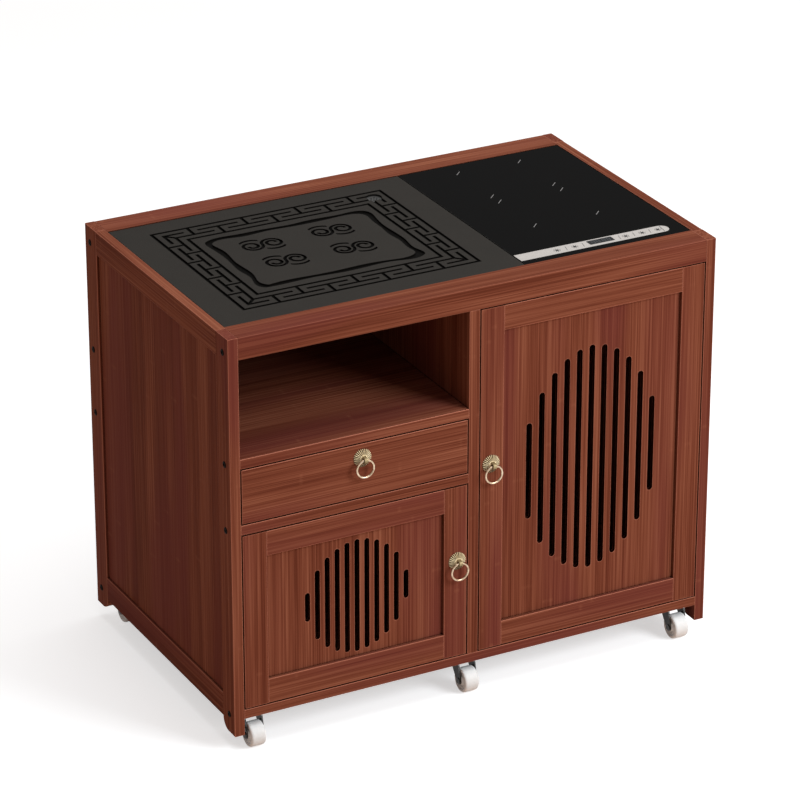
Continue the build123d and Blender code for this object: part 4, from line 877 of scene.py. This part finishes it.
def ring_outline(radius, wire):
    """The round section of the ring's wire."""
    turns = [2 * math.pi * k / WIRE_STEPS for k in range(WIRE_STEPS)]
    return [(wire * math.sin(turn), radius + wire * math.cos(turn)) for turn in turns]


print("eye", round(2 * EYE_HALF_WIDTH / MM, 1), "mm wide, hole", round(2 * EYE_HOLE / MM, 1), "mm")

# %% Pulls for the doors and the drawer
for owner in ("left_door", "right_door", "drawer"):
    plate_low, plate_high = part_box(owner + "_rosette")
    ring_low, ring_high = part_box(owner + "_ring")
    centre = (plate_low + plate_high) / 2
    door_face = plate_high.y
    ring_centre = (ring_low + ring_high) / 2
    wire = (ring_high.y - ring_low.y) / 2
    plate = grown(owner + "_rosette_plate", ROSETTE, {
        "Radius": (plate_high.x - plate_low.x) / 2,
        "Centre": (centre.x, door_face, centre.z),
        "Brass": FLUTED_BRASS,
        **ROSETTE_SHAPE,
    })
    eye = turned(owner + "_pull_eye", eye_outline(door_face - ring_centre.y), EYE_STEPS, "X",
                 (centre.x, ring_centre.y, centre.z), EYE_BRASS)
    radius = (ring_high.x - ring_low.x) / 2 - wire
    ring = turned(owner + "_pull_ring", ring_outline(radius, wire), RING_STEPS, "Y", ring_centre, BRASS)
    for piece in (plate, eye):
        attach(piece, owner)
        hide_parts(owner + "_rosette")
    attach(ring, owner + "_ring")
    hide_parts(owner + "_ring")
    print(owner, "pull: ring radius", round(radius / MM, 1), "mm, wire", round(2 * wire / MM, 1), "mm")

# %% [markdown]
# ## Bolts and screws
#
# Twelve black bolts with hexagon sockets hold the side frames to the boards, and small cross-head screws
# hold the back panel. Both are one fastener repeated at many places, each turned to face outwards. Geometry
# Nodes do that with Instance on Points: the points are a small mesh, one vertex for each fastener, that
# carries the outward direction as an attribute, and the tree ends in Realize Instances, because the export
# keeps no instances. The places aren't typed in: the bolts stand where the loaded bolts are, and the screws
# follow the boards' edges.


# %% The fastener tree
def fastener_group():
    """Puts a fastener on every point and turns it to face outwards."""
    group, t, source, target = new_group("Fasteners on points", "GeometryNodeTree", [
        ("Geometry", "NodeSocketGeometry", None),
        ("Fastener", "NodeSocketObject", None),
        ("Metal", "NodeSocketMaterial", None),
    ], [("Geometry", "NodeSocketGeometry")])
    outward = t.add("GeometryNodeInputNamedAttribute", {"Name": "outward"}, data_type="FLOAT_VECTOR")
    facing = t.add("FunctionNodeAlignRotationToVector", {"Vector": outward.outputs["Attribute"]}, axis="Z")
    shape = t.add("GeometryNodeObjectInfo", {"Object": source.outputs["Fastener"]})
    placed = t.add("GeometryNodeInstanceOnPoints", {
        "Points": source.outputs["Geometry"], "Instance": shape.outputs["Geometry"],
        "Rotation": facing.outputs[0],
    })
    end_tree(t, target, placed.outputs[0], source.outputs["Metal"])
    return group


FASTENERS = fastener_group()
print("fastener tree with", len(FASTENERS.nodes), "nodes")


# %% Points for the fasteners
def point_mesh(name, places):
    """A mesh of bare points; places holds (position, outward direction) pairs."""
    mesh = bpy.data.meshes.new(name)
    mesh.from_pydata([tuple(place) for place, _ in places], [], [])
    outward = mesh.attributes.new("outward", "FLOAT_VECTOR", "POINT")
    for item, (_, direction) in zip(outward.data, places):
        item.vector = direction
    return mesh


def fasten(name, places, fastener, metal):
    """Sets a fastener at every place and joins them to one piece on the carcass."""
    points = point_mesh(name + "_places", places)
    piece = grown(name, FASTENERS, {"Fastener": fastener, "Metal": metal}, points)
    bpy.data.objects.remove(fastener)
    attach(piece, "carcass")
    print(name, "on", len(places), "points")
    return piece


# %% Bolt and screw shapes
BOLT_STEPS, SCREW_STEPS = 36, 32
THIN = 1e-3                             # keeps a division by a cosine or sine finite


def hexagon(radius):
    """Radius of a hexagon at an angle; radius itself is from its centre to a flat."""
    def at(angle):
        sixth = math.pi / 3
        return radius / math.cos((angle % sixth) - sixth / 2)
    return at


def cross(radius, half_width):
    """Radius of a cross recess at an angle."""
    def at(angle):
        arms = [half_width / max(abs(turn(angle)), THIN) for turn in (math.cos, math.sin)]
        return min(radius, max(arms))
    return at


def socket_bolt(head, proud, shank, length):
    """Low domed bolt, head outwards along Z, its seat at zero; its inner end has a small chamfer."""
    socket = hexagon(0.42 * head)
    inner = hexagon(0.40 * head)
    outline = [
        (0.3 * proud, 0.0), (0.3 * proud, inner), (0.94 * proud, socket), (proud, 0.52 * head),
        (0.93 * proud, 0.72 * head), (0.72 * proud, 0.88 * head), (0.36 * proud, 0.98 * head), (0.0, head),
        (0.0, shank), (0.5 * MM - length, shank), (-length, shank - 0.5 * MM), (-length, 0.0),
    ]
    return turned("bolt_pattern_piece", outline, BOLT_STEPS, "Z", (0, 0, 0), None)


def cross_screw(head, proud, shank, length):
    """Pan-head screw with a cross recess and a pointed end."""
    recess = cross(0.6 * head, 0.17 * head)
    inner = cross(0.5 * head, 0.13 * head)
    outline = [
        (0.35 * proud, 0.0), (0.35 * proud, inner), (0.97 * proud, recess), (0.9 * proud, 0.7 * head),
        (0.55 * proud, 0.93 * head), (0.0, head), (0.0, shank), (3 * shank - length, shank), (-length, 0.0),
    ]
    return turned("screw_pattern_piece", outline, SCREW_STEPS, "Z", (0, 0, 0), None)


print("bolts have", BOLT_STEPS, "steps round, screws", SCREW_STEPS)


# %% Twelve frame bolts where the loaded ones are
def islands(node):
    """Boxes of a node's separate solids."""
    shape = bmesh.new()
    shape.from_mesh(NODES[node].data)
    bmesh.ops.remove_doubles(shape, verts=shape.verts, dist=1e-6)
    seen = set()
    boxes = []
    for start in shape.verts:
        if start.index in seen:
            continue
        stack, found = [start], []
        seen.add(start.index)
        while stack:
            vertex = stack.pop()
            found.append(vertex.co.copy())
            for edge in vertex.link_edges:
                other = edge.other_vert(vertex)
                if other.index not in seen:
                    seen.add(other.index)
                    stack.append(other)
        boxes.append([Vector(ends(c[i] for c in found) for i in range(3)) for ends in (min, max)])
    shape.free()
    return boxes


BOLT_PROUD, BOLT_SHANK = 1.2 * MM, 3.0 * MM     # how far the head stands out, and the shank's radius
bolt_boxes = islands("frame_bolts")
bolt_places = []
for low, high in bolt_boxes:
    side = 1 if low.x + high.x > 0 else -1
    seat = (high.x if side > 0 else -low.x) - BOLT_PROUD
    bolt_places.append((Vector((side * seat, (low.y + high.y) / 2, (low.z + high.z) / 2)), (side, 0, 0)))
bolt_length = max(high.x - low.x for low, high in bolt_boxes) - BOLT_PROUD
bolt_head = max(high.z - low.z for low, high in bolt_boxes) / 2
bolts = fasten("frame_bolts_socket_heads", bolt_places,
               socket_bolt(bolt_head, BOLT_PROUD, BOLT_SHANK, bolt_length), BLACK_OXIDE)
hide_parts("frame_bolts")

# %% Back-panel screws along the boards behind it
SCREW_HEAD, SCREW_PROUD, SCREW_SHANK, SCREW_LENGTH = 3.4 * MM, 1.5 * MM, 1.6 * MM, 18.0 * MM
SCREW_STEP = 115.0 * MM
SIDE_IN, EDGE_IN = 20.0 * MM, 6.0 * MM      # the screws' distance from the panel's sides and from its ends
DIVIDER_IN = 60.0 * MM                      # and along the divider from the rows that cross it

back_low, back_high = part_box("back_panel")
divider_low, divider_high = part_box("centre_divider")
divider_x = (divider_low.x + divider_high.x) / 2
left_x, right_x = back_low.x + SIDE_IN, back_high.x - SIDE_IN
top_z = back_high.z - EDGE_IN


def row(x0, z0, x1, z1):
    """Evenly spaced places on the panel's back, from one point to another, both included."""
    start, end = Vector((x0, back_high.y, z0)), Vector((x1, back_high.y, z1))
    count = max(2, round((end - start).length / SCREW_STEP) + 1)
    return [start.lerp(end, k / (count - 1)) for k in range(count)]


BOARD_ENDS = {"shelf_board": divider_x, "mid_board": divider_x, "bottom_board": right_x}
screw_places = []
for board, end_x in BOARD_ENDS.items():
    low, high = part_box(board)
    z = max((low.z + high.z) / 2, back_low.z + EDGE_IN)
    screw_places += row(left_x, z, end_x - SIDE_IN, z)
screw_places += row(left_x, top_z, right_x, top_z)
screw_places += row(divider_x, back_low.z + DIVIDER_IN, divider_x, top_z - DIVIDER_IN)
screws = fasten("back_panel_screws", [(place, (0, 1, 0)) for place in screw_places],
                cross_screw(SCREW_HEAD, SCREW_PROUD, SCREW_SHANK, SCREW_LENGTH), ZINC)

# %% [markdown]
# ## Caster wheels
#
# The wheels are turned from solid nylon: a flat tread with soft shoulders, and sides stepped in concentric
# rings round a hub boss. The loaded wheel has the right size but plain dished sides, so a turned wheel with
# the full profile takes its place. It rides on the wheel's own body and so rolls with it.


# %% Six turned wheels
def wheel_outline(half, hub, radius, bore):
    """Half the outline, from the bore to the tread, then its mirror image; mm is a 20th of the radius."""
    mm = radius / 20
    steps = [
        (hub, bore), (hub, 6.4 * mm), (hub - 0.5 * mm, 7.0 * mm), (half - 1.8 * mm, 7.3 * mm),
        (half - 2.6 * mm, 8.2 * mm), (half - 2.6 * mm, 10.0 * mm), (half - 1.8 * mm, 10.5 * mm),
        (half - 1.8 * mm, 11.3 * mm), (half - 2.6 * mm, 11.8 * mm), (half - 2.6 * mm, 14.2 * mm),
        (half - 1.4 * mm, 14.9 * mm), (half - 0.4 * mm, 15.3 * mm), (half, 15.9 * mm),
        (half, radius - 2.2 * mm), (half - 0.5 * mm, radius - 1.2 * mm),
        (half - 1.4 * mm, radius - 0.5 * mm), (half - 3.0 * mm, radius - 0.05 * mm),
        (half - 4.0 * mm, radius),
    ]
    return steps + [(-along, out) for along, out in reversed(steps)]


CASTER_SPOTS = [name.removesuffix("_caster_wheel") for name in NODES if name.endswith("_caster_wheel")]
AXLE_BORE = 3.05 * MM                   # radius
TREAD_HALF = 11.5 * MM                  # half the tread's width; the hub is a little wider
WHEEL_STEPS, WHEEL_SHARP = 72, 28.0
for spot in CASTER_SPOTS:
    low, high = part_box(spot + "_caster_wheel")
    centre = (low + high) / 2
    outline = wheel_outline(TREAD_HALF, (high.x - low.x) / 2, (high.z - low.z) / 2, AXLE_BORE)
    wheel = turned(spot + "_nylon_wheel", outline, WHEEL_STEPS, "X", centre, NYLON, WHEEL_SHARP)
    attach(wheel, spot + "_wheel")
    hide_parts(spot + "_caster_wheel")
print("wheels", len(CASTER_SPOTS), "radius", round((high.z - low.z) / 2 / MM, 2), "mm")

# %% [markdown]
# ## The cooktop's print
#
# A silver strip with touch buttons and a display is fired onto the glass, and short strokes mark where the
# pots stand. Print has no thickness to speak of, but painting it in the glass's material would tie it to
# coordinates that are hard to read. Thin plates, about 0.1 mm high, are easier to place and to
# change. The display shows plain digits, unlit, built from seven segments each. Strokes round a cooking
# zone repeat on a circle, so a Geometry Nodes tree instances them.

# %% Print helpers
GLASS_LOW, GLASS_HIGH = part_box("cooktop_glass")
INK = 0.12 * MM                         # thickness of one layer of print
PRINT = GLASS_HIGH.z + INK              # top of the first layer
DISC_STEPS, QUARTER_STEPS = 24, 8


def slab(shape, first, second):
    """Adds a flat piece between two outlines of equally many points."""
    near = [shape.verts.new(point) for point in first]
    far = [shape.verts.new(point) for point in second]
    shape.faces.new(near[::-1])
    shape.faces.new(far)
    for k in range(len(near)):
        after = (k + 1) % len(near)
        shape.faces.new((near[k], near[after], far[after], far[k]))


def printed(name, outlines, bottom, material):
    """One layer of print with the given outlines of (x, y) points."""
    shape = bmesh.new()
    for outline in outlines:
        slab(shape, [(x, y, bottom) for x, y in outline], [(x, y, bottom + INK) for x, y in outline])
    piece = finish_piece(name, shape, material)
    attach(piece, "carcass")


def disc(x, y, radius, points=DISC_STEPS):
    """Points on a circle."""
    turns = [2 * math.pi * k / points for k in range(points)]
    return [(x + radius * math.cos(turn), y + radius * math.sin(turn)) for turn in turns]


def bar(x0, y0, x1, y1, width):
    """A straight stroke from one point to another."""
    along = Vector((x1 - x0, y1 - y0)).normalized() * (width / 2)
    return [
        (x0 + along.y, y0 - along.x), (x1 + along.y, y1 - along.x),
        (x1 - along.y, y1 + along.x), (x0 - along.y, y0 + along.x),
    ]


def quarter(x, y, radius, start):
    """A quarter circle, from the angle start onwards."""
    turns = [math.radians(start + 90 * k / QUARTER_STEPS) for k in range(QUARTER_STEPS + 1)]
    return [(x + radius * math.cos(turn), y + radius * math.sin(turn)) for turn in turns]


def rounded(x0, x1, y0, y1, radius):
    """A rectangle with round corners."""
    corners = ((x1 - radius, y0 + radius, -90), (x1 - radius, y1 - radius, 0),
               (x0 + radius, y1 - radius, 90), (x0 + radius, y0 + radius, 180))
    return [point for x, y, start in corners for point in quarter(x, y, radius, start)]


print("print is", round(INK / MM, 2), "mm thick")


# %% Inks
def ink(name, dark, light, rough, gloss):
    """A fitting's recipe with the finer mottle of print."""
    return fitting(name, dark, light, light, 0.0, rough, gloss, scale=900.0, bump=0.02)


SILVER_INK = ink("silver_ink", srgb(174, 173, 170), srgb(192, 190, 187), (0.42, 0.52), 0.1)
DARK_INK = ink("dark_ink", srgb(30, 30, 32), srgb(40, 40, 42), (0.35, 0.45), 0.2)
WINDOW_INK = ink("window_ink", srgb(10, 11, 13), srgb(16, 17, 20), (0.1, 0.18), 0.1)
DIGIT_INK = ink("digit_ink", srgb(66, 70, 74), srgb(78, 82, 86), (0.35, 0.45), 0.2)
GREY_INK = ink("grey_ink", srgb(112, 112, 113), srgb(134, 134, 134), (0.4, 0.5), 0.2)
print("inks ready")


# %% The strip and its display
def from_left(*distances):
    """X of places on the glass, from millimetres to the right of its left edge."""
    return [GLASS_LOW.x + distance * MM for distance in distances]


STRIP_LEFT, STRIP_END = from_left(0.8, 257.0)
STRIP_FRONT, STRIP_BACK = GLASS_LOW.y + 15.0 * MM, GLASS_LOW.y + 39.0 * MM
strip_middle = (STRIP_BACK + STRIP_FRONT) / 2
corner = (STRIP_BACK - STRIP_FRONT) / 2 - 0.2 * MM
strip_outline = [
    (STRIP_LEFT, STRIP_FRONT),
    *quarter(STRIP_END - corner, STRIP_FRONT + corner, corner, -90),
    *quarter(STRIP_END - corner, STRIP_BACK - corner, corner, 0),
    (STRIP_LEFT, STRIP_BACK),
]
printed("control_strip", [strip_outline], GLASS_HIGH.z, SILVER_INK)

WINDOW_LEFT, WINDOW_RIGHT = from_left(121.0, 163.0)
WINDOW_FRONT, WINDOW_BACK = STRIP_FRONT + 6.5 * MM, STRIP_BACK - 3.0 * MM
WINDOW_CORNER = 1.6 * MM
window = rounded(WINDOW_LEFT, WINDOW_RIGHT, WINDOW_FRONT, WINDOW_BACK, WINDOW_CORNER)
printed("display_window", [window], PRINT, WINDOW_INK)

DIGIT_WIDE, DIGIT_HIGH, SEGMENT, SEGMENT_GAP = 5.0 * MM, 9.0 * MM, 0.9 * MM, 0.5 * MM
LEAN = 0.12                             # sideways for each metre up
DIGIT_PLACES = from_left(126.5, 134.5, 144.5, 152.5)


def digit(x, y):
    """The seven segments of one leaning digit."""
    wide, half, gap = DIGIT_WIDE, DIGIT_HIGH / 2, SEGMENT_GAP
    strokes = [(gap, up * half, wide - gap, up * half) for up in (0, 1, 2)]
    strokes += [(side, k * half + gap, side, (k + 1) * half - gap) for side in (0, wide) for k in (0, 1)]
    return [
        bar(x + x0 + LEAN * y0, y + y0, x + x1 + LEAN * y1, y + y1, SEGMENT)
        for x0, y0, x1, y1 in strokes
    ]


digit_foot = (WINDOW_FRONT + WINDOW_BACK - DIGIT_HIGH) / 2
segments = [stroke for x in DIGIT_PLACES for stroke in digit(x, digit_foot)]
printed("display_digits", segments, PRINT + INK, DIGIT_INK)
print("strip", round((STRIP_END - STRIP_LEFT) / MM), "mm long,", len(segments), "segments")

# %% Touch buttons
BUTTONS = from_left(67.0, 97.0, 184.0, 212.0, 239.0)
BUTTON_Y = strip_middle - 0.5 * MM
BUTTON_RADIUS = 2.7 * MM
RAYS, RAY_FROM, RAY_TO, RAY_WIDTH = 8, 3.8 * MM, 5.6 * MM, 1.1 * MM
SEPARATORS = from_left(82.5, 111.5, 173.5, 198.0, 225.5)
SEPARATOR_HALF, SEPARATOR_LEAN, SEPARATOR_WIDTH = 6.5 * MM, 1.5 * MM, 0.6 * MM
END_MARK_IN, END_MARK_GAP, END_MARK_LEAN, END_MARK_WIDTH = 12.0 * MM, 1.5 * MM, 3.0 * MM, 0.8 * MM

marks = []
for x in BUTTONS:
    marks.append(disc(x, BUTTON_Y, BUTTON_RADIUS))
    starts, ends = disc(x, BUTTON_Y, RAY_FROM, RAYS), disc(x, BUTTON_Y, RAY_TO, RAYS)
    marks += [bar(*start, *end, RAY_WIDTH) for start, end in zip(starts, ends)]
for x in SEPARATORS:
    marks.append(bar(x - SEPARATOR_LEAN, strip_middle - SEPARATOR_HALF,
                     x + SEPARATOR_LEAN, strip_middle + SEPARATOR_HALF, SEPARATOR_WIDTH))
mark_x = STRIP_END - END_MARK_IN
marks.append(bar(mark_x, STRIP_FRONT + END_MARK_GAP,
                 mark_x + END_MARK_LEAN, STRIP_BACK - END_MARK_GAP, END_MARK_WIDTH))
printed("touch_buttons", marks, PRINT, DARK_INK)
print("buttons", len(BUTTONS), "separators", len(SEPARATORS))

# %% Strokes round the cooking zones
ZONE_SHAPE = {
    "Strokes": 4, "Circle Radius": 76.0 * MM, "Length": 15.0 * MM, "Width": 1.2 * MM, "Thickness": INK,
}


def zone_group():
    """A circle of strokes round every point."""
    group, t, source, target = new_group("Zone strokes", "GeometryNodeTree", [
        ("Geometry", "NodeSocketGeometry", None),
        *size_sockets(ZONE_SHAPE),
        ("Ink", "NodeSocketMaterial", None),
    ], [("Geometry", "NodeSocketGeometry")])
    given = source.outputs
    circle = t.add("GeometryNodeMeshCircle", {"Vertices": given["Strokes"], "Radius": given["Circle Radius"]})
    size = t.join(given["Length"], given["Width"], given["Thickness"])
    stroke = t.add("GeometryNodeMeshCube", {"Size": size})
    around = t.add("GeometryNodeInstanceOnPoints", {
        "Points": circle.outputs["Mesh"], "Instance": stroke.outputs["Mesh"],
    })
    turned_ring = t.add("GeometryNodeTransform", {
        "Geometry": around.outputs[0], "Rotation": (0.0, 0.0, math.pi / 4),
    })
    zones = t.add("GeometryNodeInstanceOnPoints", {
        "Points": given["Geometry"], "Instance": turned_ring.outputs[0],
    })
    end_tree(t, target, zones.outputs[0], given["Ink"])
    return group


coil_low, coil_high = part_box("induction_coils")
coil_radius = (coil_high.x - coil_low.x) / 2
zone_x = (coil_low.x + coil_high.x) / 2
zone_places = [
    (Vector((zone_x, y, GLASS_HIGH.z + INK / 2)), (0, 0, 1))
    for y in (coil_low.y + coil_radius, coil_high.y - coil_radius)
]
zones = grown("cooking_zone_marks", zone_group(), {"Ink": GREY_INK, **ZONE_SHAPE},
              point_mesh("zone_places", zone_places))
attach(zones, "carcass")
print("cooking zones", len(zone_places))

# %% [markdown]
# ## Strike plates
#
# Each magnetic catch needs something to pull on: a small steel plate let onto the back of the door. It is
# 0.4 mm thick and stays in the 0.5 mm that the catch leaves free. A rectangle with round corners, raised
# from two outlines, is all that it takes.

# %% Plates on the doors' backs
PLATE_THICKNESS, PLATE_CORNER = 0.4 * MM, 1.5 * MM
PLATE_SIDE_IN, PLATE_TOP_IN = 2.0 * MM, 1.0 * MM     # how far a plate stays inside its catch's outline


def strike_plate(owner, low, high, door_back):
    """A plate with rounded corners, standing upright on a door's back."""
    left, right = low.x + PLATE_SIDE_IN, high.x - PLATE_SIDE_IN
    outline = rounded(left, right, low.z, high.z - PLATE_TOP_IN, PLATE_CORNER)
    shape = bmesh.new()
    slab(shape, *[[(x, y, z) for x, z in outline] for y in (door_back, door_back + PLATE_THICKNESS)])
    piece = finish_piece(owner + "_strike_plate", shape, ZINC)
    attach(piece, owner)


catches = sorted(islands("door_magnets"), key=lambda box: box[0].x)
for owner, (low, high) in zip(("left_door", "right_door"), catches):
    strike_plate(owner, low, high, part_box(owner + "_stiles")[1].y)
print("strike plates", len(catches))

# %% [markdown]
# ## Floor, light and camera
#
# The cabinet stands on a plain pale floor in soft studio light: a broad key lamp from the front right, which
# makes the right end of the front the lightest, a large lamp overhead, and a world that fills the shaded left
# side a little. A white studio needs more white than such a light gives, so the Light Path node tells the
# rays apart. The camera sees the world as pure white and reflections see it dimmer, while the light that it
# sheds stays low and slightly warm. The floor glows for the camera, a little more the farther it lies, so
# that it fades into the white, and the light that bounces off it onto the cabinet is warm.

# %% Floor
WHITE = (1.0, 1.0, 1.0, 1.0)
FLOOR_HALF = 12.0                       # metres
FLOOR_GLOW, FLOOR_FADE = 0.56, 0.4
MIRRORED_GLOW = 0.5                     # share of the glow that reflections see
FADE_FROM, FADE_TO = 2.5, 7.0           # metres from the cabinet


def floor_material():
    """A pale floor that glows for the camera and fades to white far off."""
    material, t, shader = new_material("studio_floor")
    rays = t.add("ShaderNodeLightPath").outputs
    mirrored = t.math("MAXIMUM", rays["Is Glossy Ray"], rays["Is Transmission Ray"])
    seen = t.math("MAXIMUM", rays["Is Camera Ray"], t.times(mirrored, MIRRORED_GLOW))
    place = t.object_place()
    cloudy = t.remap(t.noise(place, 0.7, 2.0), 0.3, 0.7)
    pale = t.mix(cloudy, srgb(222, 228, 232), srgb(226, 232, 236))
    wire_shader(t, shader, t.mix(rays["Is Diffuse Ray"], pale, srgb(214, 184, 164)), 0.9, specular=0.0)
    far = t.remap(t.vector("LENGTH", place), FADE_FROM, FADE_TO, 0.0, FLOOR_FADE, smooth=True)
    far = t.times(far, rays["Is Camera Ray"])
    t.feed(shader.inputs["Emission Color"], WHITE)
    t.feed(shader.inputs["Emission Strength"], t.math("MULTIPLY_ADD", seen, FLOOR_GLOW, far))
    return material


shape = bmesh.new()
corners = ((-1, -1), (1, -1), (1, 1), (-1, 1))
shape.faces.new([shape.verts.new((x * FLOOR_HALF, y * FLOOR_HALF, 0.0)) for x, y in corners])
floor = finish_piece("studio_floor", shape, floor_material())
print("floor", 2 * FLOOR_HALF, "m wide")

# %% World
FILL, REFLECTED = 0.34, 0.6
FILL_TINT = (1.0, 0.84, 0.76, 1.0)

world = bpy.data.worlds.new("studio_world")
bpy.context.scene.world = world
world.use_nodes = True
t = Tree(world.node_tree)
rays = t.add("ShaderNodeLightPath").outputs
mirrored = t.math("MAXIMUM", rays["Is Glossy Ray"], rays["Is Transmission Ray"])
seen = t.math("MAXIMUM", rays["Is Camera Ray"], mirrored)
background = t.nodes["Background"]
unseen = t.mix(mirrored, (FILL, FILL, FILL, 1.0), (REFLECTED, REFLECTED, REFLECTED, 1.0))
t.feed(background.inputs["Strength"], t.mix(rays["Is Camera Ray"], unseen, WHITE))
t.feed(background.inputs["Color"], t.mix(seen, FILL_TINT, WHITE))
print("world sheds", FILL, "and reflects", REFLECTED)


# %% Lamps
def lamp(name, place, target, size, watts):
    """A square lamp at a place, turned towards a target."""
    data = bpy.data.lights.new(name, "AREA")
    data.shape = "SQUARE"
    data.size = size
    data.energy = watts
    thing = bpy.data.objects.new(name, data)
    thing.location = place
    thing.rotation_euler = (Vector(target) - Vector(place)).to_track_quat("-Z", "Y").to_euler()
    bpy.context.scene.collection.objects.link(thing)


lamp("key", (2.2, -3.2, 2.6), (0.0, 0.0, 0.35), 2.0, 136.0)
lamp("overhead", (0.3, -0.1, 3.4), (0.0, 0.0, 0.66), 2.4, 52.0)
print("lamps", len(bpy.data.lights))

# %% Camera
LENS, SENSOR = 184.026, 36.0            # millimetres
YAW, PITCH = 0.48664, 0.42983           # radians to the right of straight back, and down

camera_data = bpy.data.cameras.new("camera")
camera_data.lens = LENS
camera_data.sensor_width = SENSOR
camera_data.clip_end = 100.0
camera = bpy.data.objects.new("camera", camera_data)
camera.location = (-2.62431, -4.95598, 2.95432)
camera.rotation_euler = (math.pi / 2 - PITCH, 0.0, -YAW)
bpy.context.scene.collection.objects.link(camera)
bpy.context.scene.camera = camera
bpy.context.scene.view_settings.view_transform = "Standard"
print("camera lens", LENS, "mm")
